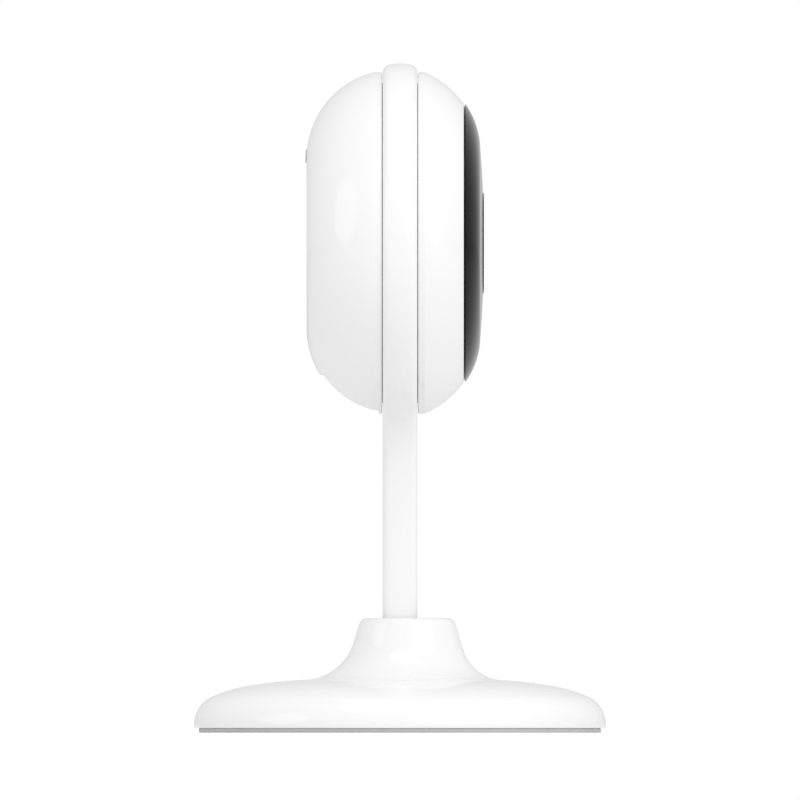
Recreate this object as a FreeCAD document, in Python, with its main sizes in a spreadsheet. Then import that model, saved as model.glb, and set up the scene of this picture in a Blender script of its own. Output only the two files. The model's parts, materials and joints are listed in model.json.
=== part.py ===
import FreeCAD, Part
import math
import os
import types
import Sketcher

# A small desk camera: a round head seated in a ring that stands on a weighted foot.
# Millimetres. +Z is up, the camera looks along -Y, and the origin is on the floor
# under the centre of the foot. Head parts are drawn around the centre of the head,
# with depth counted from the plane of the ring towards the front, along -Y.

V = FreeCAD.Vector

DRIVING = {
    # How far a cutting solid runs past the face it opens
    "overrun": 1.0,
    # Where the main pieces stand
    "head_height": 84.5,
    "pivot_height": 14.4,
    # Foot
    "pad_radius": 34.7,
    "pad_thick": 0.78,
    "rim_radius": 35.52,
    "rim_turn": 5.35,
    "brow_radius": 32.3,
    "brow_height": 6.3,
    "slope_turn": 27.0,
    "crown_radius": 26.1,
    "crown_turn": 80.0,
    "dome_middle": 8.5,
    "foot_wall": 1.6,
    "hub_foot_height": 8.5,
    "hub_foot_radius": 11.45,
    "hub_offset": 1.26,
    "hub_top_height": 19.77,
    "hub_draft": 17.0,
    "hub_blend": 8.2,
    "hub_edge": 1.4,
    "slot_half_width": 4.5,
    "slot_front": 6.05,
    "slot_rear": 4.45,
    "slot_corner": 1.9,
    "plate_radius": 33.6,
    "plate_top": 2.38,
    "hub_blend_reach": 1.5,
    "seat_pilot": 2.9,
    "tab_pilot": 2.6,
    "post_circle": 29.0,
    "post_radius": 2.2,
    "post_top": 6.0,
    "tab_post_span": 12.5,
    "tab_post_top": 9.2,
    "weight_radius": 26.4,
    "weight_step_radius": 22.5,
    "weight_bore": 17.4,
    "weight_step_height": 4.9,
    "weight_top": 6.5,
    # Small screws
    "screw_radius": 0.9,
    "screw_pilot": 0.92,
    "screw_clearance": 1.15,
    "screw_head_radius": 1.75,
    "screw_head_thick": 1.1,
    "screw_sink": 1.15,
    "screw_short": 0.2,
    "sink_gap": 0.1,
    "drive_half": 0.9,
    "drive_thin": 0.25,
    "drive_depth": 0.6,
    "head_screw_tip": 6.0,
    "board_screw_tip": 11.5,
    # Tilt hinge
    "tab_half_length": 16.0,
    "tab_half_width": 5.5,
    "tab_base": 5.1,
    "tab_top": 6.3,
    "ear_inside": 3.5,
    "ear_outside": 5.0,
    "ear_round": 3.0,
    "ear_root": 0.5,
    "pin_radius": 1.25,
    "pin_bore": 1.28,
    "pin_head_radius": 2.2,
    "pin_head_end": 6.3,
    "pin_end": 6.9,
    "nut_end": 6.6,
    "nut_flat": 4.9,
    "washer_inside": 3.15,
    "washer_outside": 3.45,
    "washer_radius": 2.75,
    # Ring and stem
    "ring_radius": 31.0,
    "ring_bore": 27.9,
    "ring_half_width": 3.0,
    "ring_edge": 1.45,
    "stem_foot_half": 4.2,
    "stem_neck_half": 5.0,
    "stem_flare": 10.0,
    "stem_start": 3.4,
    "knuckle_half": 3.1,
    "knuckle_root": 0.6,
    # Head shells
    "groove_floor": 27.6,
    "groove_half": 3.15,
    "girdle_radius": 29.5,
    "edge_round": 0.2,
    "rear_girdle": 4.6,
    "rear_turn": 15.28,
    "rear_turn_centre": 14.6,
    "rear_depth": 16.14,
    "front_girdle": 4.25,
    "front_turn": 16.3,
    "seam_depth": 11.0,
    "seam_radius": 24.1,
    "shell_wall": 1.5,
    "seat_thick": 1.4,
    "seat_rim": 23.2,
    "front_ease": 0.5,
    "rear_ease": 0.2,
    "post_overlap": 0.4,
    "seat_bore": 20.3,
    "shelf_bore": 18.6,
    "shelf_front": 8.6,
    "shelf_thick": 1.2,
    "head_post_circle": 22.2,
    "head_post_radius": 2.05,
    "head_post_split": 1.0,
    "head_post_root": 12.3,
    "stand_off_circle": 16.8,
    "stand_off_radius": 1.8,
    "band_depth": 1.5,
    "band_radius": 0.4,
    "band_seat": 26.9,
    "band_seat_half": 0.45,
    # Power inlet notch
    "notch_half_width": 6.2,
    "notch_ceiling": 22.8,
    "notch_front": 3.7,
    "notch_wall": 1.3,
    "inlet_half_width": 3.75,
    "inlet_thick": 2.55,
    "inlet_length": 5.3,
    "inlet_recess": 0.2,
    "inlet_gap": 0.15,
    "inlet_sheet": 0.3,
    "inlet_tongue_half": 2.2,
    "inlet_tongue_low": 0.8,
    "inlet_tongue_high": 1.4,
    "inlet_tongue_recess": 0.4,
    # Sound
    "grille_hole": 0.55,
    "grille_pitch": 2.3,
    "speaker_radius": 10.0,
    "speaker_front": 14.2,
    "speaker_back": 9.9,
    "speaker_flange": 1.2,
    "speaker_flange_inside": 0.6,
    "basket_radius": 6.6,
    "basket_bore": 5.0,
    "basket_inside": 6.4,
    "basket_front": 2.3,
    "magnet_radius": 6.0,
    "magnet_thick": 1.7,
    "gasket_bore": 8.3,
    "cone_gap": 0.05,
    "cone_inset": 0.1,
    "cone_surround": 0.7,
    "cap_inset": 0.2,
    "cone_thick": 0.25,
    "cone_depth": 0.8,
    "cone_cap": 2.6,
    # Front cover and window
    "cover_turn": 13.8,
    "cover_brow_depth": 13.87,
    "cover_brow_radius": 16.4,
    "cover_tip": 14.33,
    "cover_dome": 292.6,
    "cover_inside": 12.6,
    "cover_rib": 20.5,
    "cover_skirt": 0.4,
    "tape_thick": 0.2,
    "tape_gap": 0.1,
    "glass_gap": 0.02,
    "window_radius": 8.75,
    "window_front": 14.5,
    "window_seat": 13.1,
    "window_ledge": 7.9,
    # Lens and infra-red cut filter
    "barrel_radius": 6.0,
    "barrel_head_radius": 7.0,
    "barrel_head_back": 9.6,
    "barrel_front": 12.1,
    "barrel_back": 2.4,
    "barrel_bore": 4.9,
    "barrel_mouth": 6.2,
    "barrel_mouth_depth": 1.0,
    "barrel_chamfer": 0.3,
    "barrel_rear_bore": 3.7,
    "barrel_seat": 3.2,
    "shroud_inside": 7.3,
    "shroud_outside": 8.2,
    "shroud_back": 8.0,
    "holder_front": 7.0,
    "holder_tube": 7.5,
    "holder_bore": 6.03,
    "holder_flange": 2.0,
    "case_front": 0.8,
    "case_back": 3.4,
    "case_half_length": 10.4,
    "case_half_height": 7.5,
    "case_slot_half_length": 9.8,
    "case_slot_half_height": 4.6,
    "case_slot_back": 0.6,
    "light_hole": 2.9,
    "filter_travel": 6.2,
    "filter_half_pane": 2.7,
    "filter_half_height": 4.3,
    "filter_back": 0.3,
    "filter_front": 0.5,
    "filter_rail": 0.4,
    "pane_inset": 0.15,
    "sensor_half_width": 3.4,
    "sensor_half_height": 2.7,
    "sensor_front": 2.5,
    "sensor_gap": 0.3,
    # Boards
    "sensor_board_half": 12.0,
    "sensor_board_back": 4.4,
    "main_board_radius": 19.4,
    "main_board_front": 6.1,
    "main_board_back": 7.3,
    "board_tongue": 21.3,
    "board_tongue_half": 6.0,
    "board_relief": 0.4,
    "connector_half": 5.0,
    "connector_low": 10.6,
    "connector_high": 8.4,
    "processor_half": 5.5,
    "processor_thick": 1.0,
    "thermal_half": 5.0,
    "thermal_thick": 0.5,
    "spreader_half": 12.0,
    "spreader_thick": 0.6,
    "shield_half": 6.0,
    "shield_thick": 1.8,
    "shield_low": 12.7,
    "shield_high": 17.7,
    "antenna_side": 16.6,
    "antenna_thick": 0.8,
    "antenna_depth": 5.6,
    "antenna_low": 8.0,
    "antenna_high": 5.0,
    "led_board_radius": 19.6,
    "led_board_bore": 8.6,
    "led_board_front": 9.6,
    "led_circle": 14.5,
    "led_half": 1.4,
    "led_top": 11.3,
    "led_case_top": 10.7,
    "led_lens_radius": 1.2,
    "cable_side": 17.0,
    "cable_thick": 0.4,
    "cable_half": 2.5,
    "light_chip_half": 1.0,
    "light_chip_thick": 0.9,
    "lamp_half_length": 0.8,
    "lamp_half_width": 0.5,
    "lamp_thick": 0.7,
    "window_part_circle": 17.3,
    "pipe_radius": 0.7,
    "pipe_front": 13.7,
    "pipe_gap": 0.03,
    "pipe_collar": 1.2,
    "sound_hole": 0.5,
    "capsule_radius": 1.9,
    "capsule_front": 11.4,
    "glass_front": 11.3,
    "glass_middle": 7.6,
    "glass_rear": 4.7,
    "glass_rise": 0.8,
    "glass_thick": 1.3,
    "coil_radius": 1.9,
    "coil_gap": 0.3,
    "coil_depth": 1.3,
    "coil_cheek": 0.8,
    # Pairing button
    "button_rise": 15.0,
    "button_half_length": 3.5,
    "button_half_height": 1.2,
    "button_gap": 0.12,
    "button_end": 16.49,
    "button_lip": 0.7,
    "lip_depth": 0.5,
    "lip_thick": 0.6,
    "stem_radius": 0.9,
    "button_root": 11.0,
    "switch_half_length": 3.0,
    "switch_half_height": 1.75,
    "switch_end": 9.9,
    "plunger_radius": 0.75,
    "plunger_bore": 0.8,
    "plunger_seat": 1.3,
    "switch_floor": 0.4,
}

# How near a bound must be for an edge or a face to be picked by it
NEAR = 0.01
LEVEL = 0.05
SAME_POINT = 1e-6

# Which point of a sketched side a constraint means, and what stands for the sketch's origin
START, END, CENTRE = 1, 2, 3
ORIGIN = (-1, 1)


class Dim:
    """A length that knows its value and the sheet expression that gives it."""

    def __init__(self, value, text):
        self.value = value
        self.text = text

    def __add__(self, other):
        other = dim(other)
        return Dim(self.value + other.value, f"({self.text} + {other.text})")

    def __sub__(self, other):
        other = dim(other)
        return Dim(self.value - other.value, f"({self.text} - {other.text})")

    def __mul__(self, other):
        other = dim(other)
        return Dim(self.value * other.value, f"({self.text} * {other.text})")

    def __truediv__(self, other):
        other = dim(other)
        return Dim(self.value / other.value, f"({self.text} / {other.text})")

    def __radd__(self, other):
        return dim(other) + self

    def __rsub__(self, other):
        return dim(other) - self

    def __rmul__(self, other):
        return dim(other) * self

    def __neg__(self):
        return Dim(-self.value, f"(0 - {self.text})")


class Free(float):
    """A sketch coordinate that the other constraints settle; the value is only a start."""


def dim(amount):
    """Turns a plain number into a Dim."""
    if isinstance(amount, Dim):
        return amount
    return Dim(float(amount), repr(float(amount)))


document = FreeCAD.newDocument("desk_camera")
sheet = document.addObject("Spreadsheet::Sheet", "Sizes")
for row, (alias, amount) in enumerate(DRIVING.items(), start=1):
    sheet.set(f"A{row}", alias)
    sheet.set(f"B{row}", str(amount))
    sheet.setAlias(f"B{row}", alias)
document.recompute()
size = types.SimpleNamespace(
    **{alias: Dim(amount, f"Sizes.{alias}") for alias, amount in DRIVING.items()}
)

HEAD = size.head_height
start_height = {}
kept = []


# Ties, primitives and booleans

def bind(thing, path, amount):
    """Ties one property to the sheet."""
    thing.setExpression(path, dim(amount).text)


def settle(thing, x, y, z, turn=None):
    """Gives a shape its turn and ties its position."""
    if turn:
        thing.Placement = FreeCAD.Placement(V(0, 0, 0), turn)
    bind(thing, "Placement.Base.x", x)
    bind(thing, "Placement.Base.y", y)
    bind(thing, "Placement.Base.z", z)
    start_height[thing.Name] = dim(z)
    return thing


def block(x, y, z):
    """A block between pairs of limits along X, Y and Z."""
    thing = document.addObject("Part::Box", "Block")
    bind(thing, "Length", dim(x[1]) - x[0])
    bind(thing, "Width", dim(y[1]) - y[0])
    bind(thing, "Height", dim(z[1]) - z[0])
    return settle(thing, x[0], y[0], z[0])


def head_block(x, depth, z):
    """A block in the head, with its depth limits counted towards the front."""
    return block(x, (-dim(depth[1]), -dim(depth[0])), z)


def rod(radius, length, x, y, z, turn=None):
    """A round bar that starts at x, y, z and runs up, or along its turned axis."""
    thing = document.addObject("Part::Cylinder", "Rod")
    bind(thing, "Radius", radius)
    bind(thing, "Height", length)
    return settle(thing, x, y, z, turn)


def head_rod(radius, depth, x=0, z=0):
    """A round bar in the head that runs along the depth between its limits."""
    forward = FreeCAD.Rotation(V(1, 0, 0), 90)
    return rod(radius, dim(depth[1]) - depth[0], x, -dim(depth[0]), z, forward)


def cross_rod(radius, x, y, z):
    """A round bar along X between its limits."""
    across = FreeCAD.Rotation(V(0, 1, 0), 90)
    return rod(radius, dim(x[1]) - x[0], x[0], y, z, across)


def join(*things):
    """One solid from pieces that meet."""
    fused = document.addObject("Part::MultiFuse", "Joined")
    fused.Shapes = list(things)
    fused.Refine = True
    return fused


def group(*things):
    """Separate solids that share a node."""
    together = document.addObject("Part::Compound", "Group")
    together.Links = list(things)
    return together


def cut(thing, *tools):
    """Takes the tools away from a solid."""
    remainder = document.addObject("Part::Cut", "Cut")
    remainder.Base = thing
    remainder.Tool = tools[0] if len(tools) == 1 else group(*tools)
    return remainder


def keep(thing, label, rise=0):
    """Makes a shape a sub-part with its own name, lifted by rise."""
    thing.Label = label
    bind(thing, "Placement.Base.z", start_height.get(thing.Name, dim(0)) + rise)
    kept.append(thing)
    return thing


# Sketches

def corner(across, up, bend=None, smooth=False, centre=None):
    """A corner of an outline, with how its side arrives: straight, or an arc of radius bend.

    A negative bend turns clockwise. A smooth corner is tangent to the next side.
    """
    return types.SimpleNamespace(across=across, up=up, bend=bend, smooth=smooth, centre=centre)


def number(amount):
    """The plain value of a coordinate."""
    return float(amount) if isinstance(amount, Free) else dim(amount).value


def arc_between(start, end, bend):
    """The shorter arc between two points."""
    chord = end - start
    left = V(-chord.y, chord.x, 0).normalize()
    side = math.copysign(1, bend)
    reach = math.sqrt(max(bend ** 2 - chord.Length ** 2 / 4, 0))
    middle = (start + end) / 2 + left * (side * (reach - abs(bend)))
    return Part.Arc(start, middle, end)


def measure(sketch, kind, amount, *target):
    """Adds a dimension to a sketch and ties it to the sheet."""
    if isinstance(amount, Free):
        return
    amount = dim(amount)
    index = sketch.addConstraint(Sketcher.Constraint(kind, *target, amount.value))
    if "Sizes." in amount.text:
        sketch.setExpression(f"Constraints[{index}]", amount.text)


def new_sketch(body, role, offset=None):
    """A sketch on one of the body's own origin planes, lifted by offset."""
    sketch = body.newObject("Sketcher::SketchObject", "Outline")
    plane = next(item for item in body.Origin.OriginFeatures if item.Role == role)
    sketch.AttachmentSupport = (plane, [""])
    sketch.MapMode = "FlatFace"
    if offset is not None:
        bind(sketch, "AttachmentOffset.Base.z", offset)
    return sketch


def draw_loop(sketch, corners):
    """Draws a closed outline and fixes it with dimensions."""
    points = [V(number(spot.across), number(spot.up), 0) for spot in corners]
    sides = []
    for index, spot in enumerate(corners):
        start = points[index - 1]
        end = points[index]
        if spot.bend is None:
            side = sketch.addGeometry(Part.LineSegment(start, end))
        else:
            side = sketch.addGeometry(arc_between(start, end, number(spot.bend)))
        forward = (sketch.getPoint(side, START) - start).Length < SAME_POINT
        sides.append((side, START, END) if forward else (side, END, START))
    for index, spot in enumerate(corners):
        side, _, last = sides[index]
        following, first, _ = sides[(index + 1) % len(corners)]
        meeting = "Tangent" if spot.smooth else "Coincident"
        sketch.addConstraint(Sketcher.Constraint(meeting, side, last, following, first))
        measure(sketch, "DistanceX", spot.across, *ORIGIN, side, last)
        measure(sketch, "DistanceY", spot.up, *ORIGIN, side, last)
        if spot.centre:
            measure(sketch, "DistanceX", spot.centre[0], *ORIGIN, side, CENTRE)
            measure(sketch, "DistanceY", spot.centre[1], *ORIGIN, side, CENTRE)
        elif spot.bend is not None:
            radius = dim(spot.bend)
            measure(sketch, "Radius", radius if radius.value > 0 else -radius, side)


def draw_circle(sketch, across, up, radius):
    """Draws a dimensioned circle."""
    centre = V(number(across), number(up), 0)
    ring = sketch.addGeometry(Part.Circle(centre, V(0, 0, 1), number(radius)))
    measure(sketch, "DistanceX", across, *ORIGIN, ring, CENTRE)
    measure(sketch, "DistanceY", up, *ORIGIN, ring, CENTRE)
    measure(sketch, "Radius", radius, ring)


def turn_profile(corners, axis):
    """A body turned from an outline in the YZ plane about one of the sketch's axes."""
    body = document.addObject("PartDesign::Body", "Turned")
    sketch = new_sketch(body, "YZ_Plane")
    draw_loop(sketch, corners)
    turned = body.newObject("PartDesign::Revolution", "Turn")
    turned.Profile = sketch
    turned.ReferenceAxis = (sketch, [axis])
    turned.Angle = 360
    return body


def head_turned(*corners):
    """A round head part: its outline is given as depth and radius."""
    mirrored = []
    for spot in corners:
        bend = None if spot.bend is None else -dim(spot.bend)
        centre = (Free(-number(spot.centre[0])), spot.centre[1]) if spot.centre else None
        mirrored.append(corner(-dim(spot.across), spot.up, bend, spot.smooth, centre))
    return turn_profile(mirrored, "H_Axis")


def dome(tip, rise, reach):
    """A corner on the axis at the tip of a spherical side that starts at radius reach.

    A positive rise points the tip to the front. The arc runs in to the tip.
    """
    radius = (dim(reach) * reach + dim(rise) * rise) / (dim(rise) * 2)
    centre = (Free(number(tip) - number(radius)), 0)
    return corner(tip, 0, -radius, centre=centre)


def upright_turned(*corners):
    """A round foot part: its outline is given as radius and height."""
    return turn_profile(corners, "V_Axis")


def pad(body, sketch, length, both_ways=False, away=False, draft=None):
    """Pads a sketch along its plane's normal."""
    thick = body.newObject("PartDesign::Pad", "Pad")
    thick.Profile = sketch
    bind(thick, "Length", length)
    thick.Midplane = both_ways
    thick.Reversed = away
    if draft is not None:
        bind(thick, "TaperAngle", draft)
    return thick


def round_edges(body, radius, chosen):
    """Rounds the edges of the body's tip that a test chooses."""
    document.recompute()
    base = body.Tip
    names = [f"Edge{n}" for n, edge in enumerate(base.Shape.Edges, start=1) if chosen(edge)]
    fillet = body.newObject("PartDesign::Fillet", "Round")
    fillet.Base = (base, names)
    bind(fillet, "Radius", radius)
    return fillet


def pocket(body, sketch, length, away=False, both_ways=False):
    """Cuts a sketch out of the body and checks that something went."""
    document.recompute()
    before = body.Shape.Volume
    hole = body.newObject("PartDesign::Pocket", "Pocket")
    hole.Profile = sketch
    bind(hole, "Length", length)
    hole.Reversed = away
    hole.Midplane = both_ways
    document.recompute()
    if body.Shape.Volume >= before:
        raise RuntimeError(f"{body.Label}: a pocket cut nothing")
    return hole


def rounded_rectangle(sketch, left, right, low, high, radius):
    """Draws a rectangle with round corners."""
    draw_loop(sketch, [
        corner(dim(right) - radius, low),
        corner(right, dim(low) + radius, radius),
        corner(right, dim(high) - radius),
        corner(dim(right) - radius, high, radius),
        corner(dim(left) + radius, high),
        corner(left, dim(high) - radius, radius),
        corner(left, dim(low) + radius),
        corner(dim(left) + radius, low, radius),
    ])


def around(count, first_angle):
    """Unit directions spaced evenly round a circle."""
    step = 2 * math.pi / count
    start = math.radians(first_angle)
    return [(math.cos(start + step * n), math.sin(start + step * n)) for n in range(count)]


# Foot

def seat_places():
    """Places of the screws that hold the bottom plate."""
    return [(x * size.post_circle, y * size.post_circle) for x, y in around(3, 90)]


def tab_places():
    """Places of the screws that hold the hinge bracket."""
    return [(size.tab_post_span, 0), (-size.tab_post_span, 0)]


def base_cover():
    """The moulded foot: a low dome with a drafted hub, hollow from below, and its screw posts."""
    body = document.addObject("PartDesign::Body", "BaseCover")
    profile = new_sketch(body, "YZ_Plane")
    draw_loop(profile, [
        corner(0, size.pad_thick),
        corner(size.rim_radius, size.pad_thick),
        corner(size.brow_radius, size.brow_height, size.rim_turn, smooth=True),
        corner(size.crown_radius, Free(8.1), size.slope_turn, smooth=True),
        corner(size.dome_middle, Free(9.03), size.crown_turn),
        corner(0, Free(9.03)),
    ])
    crown = profile.GeometryCount - 1
    profile.addConstraint(Sketcher.Constraint("Horizontal", crown))
    dome = body.newObject("PartDesign::Revolution", "Dome")
    dome.Profile = profile
    dome.ReferenceAxis = (profile, ["V_Axis"])
    dome.Angle = 360
    circle = new_sketch(body, "XY_Plane", size.hub_foot_height)
    draw_circle(circle, 0, -size.hub_offset, size.hub_foot_radius)
    pad(body, circle, size.hub_top_height - size.hub_foot_height, draft=-size.hub_draft)
    blend_from = number(size.hub_foot_height)
    blend_to = number(size.hub_foot_height + size.hub_blend_reach)
    round_edges(body, size.hub_blend, lambda edge: (
        edge.BoundBox.ZLength < LEVEL
        and blend_from < edge.BoundBox.ZMin < blend_to
        and edge.BoundBox.XMax < number(size.hub_foot_radius) + LEVEL
    ))
    document.recompute()
    solid = body.Tip
    floor = [
        f"Face{n}" for n, face in enumerate(solid.Shape.Faces, start=1)
        if face.BoundBox.ZMax < number(size.pad_thick) + NEAR
    ]
    hollow = body.newObject("PartDesign::Thickness", "Hollow")
    hollow.Base = (solid, floor)
    bind(hollow, "Value", size.foot_wall)
    hollow.Reversed = True
    hollow.Join = 1
    top = number(size.hub_top_height) - NEAR
    round_edges(body, size.hub_edge, lambda edge: edge.BoundBox.ZMin > top)
    slot = new_sketch(body, "XY_Plane", size.hub_top_height)
    rounded_rectangle(
        slot, -size.slot_half_width, size.slot_half_width,
        -size.slot_front, size.slot_rear, size.slot_corner,
    )
    pocket(body, slot, size.foot_wall * 2)
    posts = [
        rod(size.post_radius, size.post_top - size.plate_top, x, y, size.plate_top)
        for x, y in seat_places()
    ] + [
        rod(size.post_radius, size.tab_post_top - size.tab_top, x, y, size.tab_top)
        for x, y in tab_places()
    ]
    pilots = [
        rod(size.screw_pilot, size.seat_pilot, x, y, size.plate_top) for x, y in seat_places()
    ] + [
        rod(size.screw_pilot, size.tab_pilot, x, y, size.tab_top) for x, y in tab_places()
    ]
    keep(cut(join(body, *posts), *pilots), "base_cover")


def screws(places, tip, seat):
    """Cross-head screws between the heights of their tips and the seats of their heads."""
    made = []
    for x, y in places:
        slot_low = dim(seat) - size.screw_head_thick
        shaft = rod(size.screw_radius, dim(tip) - seat, x, y, seat)
        top = rod(size.screw_head_radius, size.screw_head_thick, x, y, slot_low)
        across = block(
            (dim(x) - size.drive_half, dim(x) + size.drive_half),
            (dim(y) - size.drive_thin, dim(y) + size.drive_thin),
            (slot_low, slot_low + size.drive_depth),
        )
        along = block(
            (dim(x) - size.drive_thin, dim(x) + size.drive_thin),
            (dim(y) - size.drive_half, dim(y) + size.drive_half),
            (slot_low, slot_low + size.drive_depth),
        )
        made.append(cut(join(shaft, top), across, along))
    return group(*made)


def base_fittings():
    """The parts that close and weigh down the foot."""
    foot_pad = upright_turned(
        corner(0, 0),
        corner(size.pad_radius - size.edge_round, 0),
        corner(size.pad_radius, size.edge_round, size.edge_round),
        corner(size.pad_radius, size.pad_thick),
        corner(0, size.pad_thick),
    )
    keep(foot_pad, "base_foot_pad")

    plate = rod(size.plate_radius, size.plate_top - size.pad_thick, 0, 0, size.pad_thick)
    sinks = [
        rod(size.screw_head_radius + size.sink_gap, size.screw_sink, x, y, size.pad_thick)
        for x, y in seat_places()
    ]
    holes = [rod(size.screw_clearance, size.plate_top, x, y, 0) for x, y in seat_places()]
    keep(cut(plate, *sinks, *holes), "base_bottom_plate")
    tip = size.plate_top + size.seat_pilot - size.screw_short
    keep(screws(seat_places(), tip, size.pad_thick + size.screw_sink), "base_screws")

    weight = upright_turned(
        corner(size.weight_bore, size.plate_top),
        corner(size.weight_radius, size.plate_top),
        corner(size.weight_radius, size.weight_step_height),
        corner(size.weight_step_radius, size.weight_step_height),
        corner(size.weight_step_radius, size.weight_top),
        corner(size.weight_bore, size.weight_top),
    )
    keep(weight, "base_weight")


def hinge_parts():
    """The tilt hinge: a steel bracket, its screws, the pin, its nut and two washers."""
    body = document.addObject("PartDesign::Body", "Bracket")
    tab = new_sketch(body, "XY_Plane", size.tab_base)
    rounded_rectangle(
        tab, -size.tab_half_length, size.tab_half_length,
        -size.tab_half_width, size.tab_half_width, size.ear_round,
    )
    pad(body, tab, size.tab_top - size.tab_base)
    low = size.tab_top - size.ear_root
    for side in (1, -1):
        ear = new_sketch(body, "YZ_Plane", size.ear_inside * side)
        draw_loop(ear, [
            corner(size.ear_round, low),
            corner(size.ear_round, size.pivot_height),
            corner(0, size.pivot_height + size.ear_round, size.ear_round),
            corner(-size.ear_round, size.pivot_height, size.ear_round),
            corner(-size.ear_round, low),
        ])
        pad(body, ear, size.ear_outside - size.ear_inside, away=side < 0)
    span = (-size.ear_outside - size.overrun, size.ear_outside + size.overrun)
    bore = cross_rod(size.pin_bore, span, 0, size.pivot_height)
    holes = [rod(size.screw_clearance, size.tab_top, x, y, 0) for x, y in tab_places()]
    keep(cut(body, bore, *holes), "hinge_bracket")
    tip = size.tab_top + size.tab_pilot - size.screw_short
    keep(screws(tab_places(), tip, size.tab_base), "hinge_bracket_screws")

    shaft = cross_rod(size.pin_radius, (-size.pin_end, size.ear_outside), 0, size.pivot_height)
    top = cross_rod(
        size.pin_head_radius, (size.ear_outside, size.pin_head_end), 0, size.pivot_height,
    )
    drive = block(
        (size.pin_head_end - size.drive_depth, size.pin_head_end),
        (-size.pin_head_radius, size.pin_head_radius),
        (size.pivot_height - size.drive_thin, size.pivot_height + size.drive_thin),
    )
    keep(cut(join(shaft, top), drive), "hinge_pin")

    nut = document.addObject("Part::Prism", "Nut")
    nut.Polygon = 6
    bind(nut, "Circumradius", size.nut_flat / math.sqrt(3))
    bind(nut, "Height", size.nut_end - size.ear_outside)
    across = FreeCAD.Rotation(V(0, 1, 0), 90)
    settle(nut, -size.nut_end, 0, size.pivot_height, across)
    span = (-size.nut_end - size.overrun, -size.ear_outside + size.overrun)
    keep(cut(nut, cross_rod(size.pin_radius, span, 0, size.pivot_height)), "hinge_nut")

    washers = []
    for side in (1, -1):
        span = sorted((side * size.washer_inside, side * size.washer_outside), key=number)
        inner = size.washer_inside - size.overrun
        hole = sorted((side * size.ear_inside, side * inner), key=number)
        disc = cross_rod(size.washer_radius, span, 0, size.pivot_height)
        washers.append(cut(disc, cross_rod(size.pin_bore, hole, 0, size.pivot_height)))
    keep(group(*washers), "hinge_washers")


# Ring and stem

def ring_stand():
    """The ring that holds the head and the flat stem below it, one moulding."""
    body = document.addObject("PartDesign::Body", "RingStand")
    front = new_sketch(body, "XZ_Plane")
    foot = size.pivot_height + size.stem_start
    middle = (0, HEAD)
    top = HEAD + size.ring_radius
    draw_loop(front, [
        corner(size.stem_foot_half, foot),
        corner(size.stem_neck_half, Free(46.2), smooth=True),
        corner(Free(11.3), Free(55.7), -size.stem_flare, smooth=True),
        corner(0, top, size.ring_radius, centre=middle),
        corner(Free(-11.3), Free(55.7), size.ring_radius, smooth=True, centre=middle),
        corner(-size.stem_neck_half, Free(46.2), -size.stem_flare, smooth=True),
        corner(-size.stem_foot_half, foot),
    ])
    draw_circle(front, 0, HEAD, size.ring_bore)
    pad(body, front, size.ring_half_width * 2, both_ways=True)
    width = number(size.ring_half_width)
    bore = number(size.ring_bore)
    foot_height = number(foot)

    def is_outer(edge):
        span = edge.BoundBox
        on_face = span.YLength < NEAR and abs(abs(span.YMin) - width) < NEAR
        at_foot = span.ZMax < foot_height + NEAR
        round_bore = hasattr(edge.Curve, "Radius") and abs(edge.Curve.Radius - bore) < NEAR
        return on_face and not at_foot and not round_bore

    round_edges(body, size.ring_edge, is_outer)
    knuckle = new_sketch(body, "YZ_Plane")
    draw_loop(knuckle, [
        corner(size.ring_half_width, foot + size.knuckle_root),
        corner(-size.ring_half_width, foot + size.knuckle_root),
        corner(-size.ring_half_width, size.pivot_height),
        corner(0, size.pivot_height - size.ring_half_width, size.ring_half_width),
        corner(size.ring_half_width, size.pivot_height, size.ring_half_width),
    ])
    draw_circle(knuckle, 0, size.pivot_height, size.pin_bore)
    pad(body, knuckle, size.knuckle_half * 2, both_ways=True)
    keep(body, "ring_stand")


# Head shells

def head_posts(count, first_angle, circle):
    """Places of posts on a circle, seen from the front."""
    return [(x * circle, z * circle) for x, z in around(count, first_angle)]


def closing_places():
    """Places of the screws that close the head."""
    return head_posts(3, 90, size.head_post_circle)


def board_places():
    """Places of the screws that hold the main board: two of three, clear of the power inlet."""
    return head_posts(3, 30, size.stand_off_circle)[:2]


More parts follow.
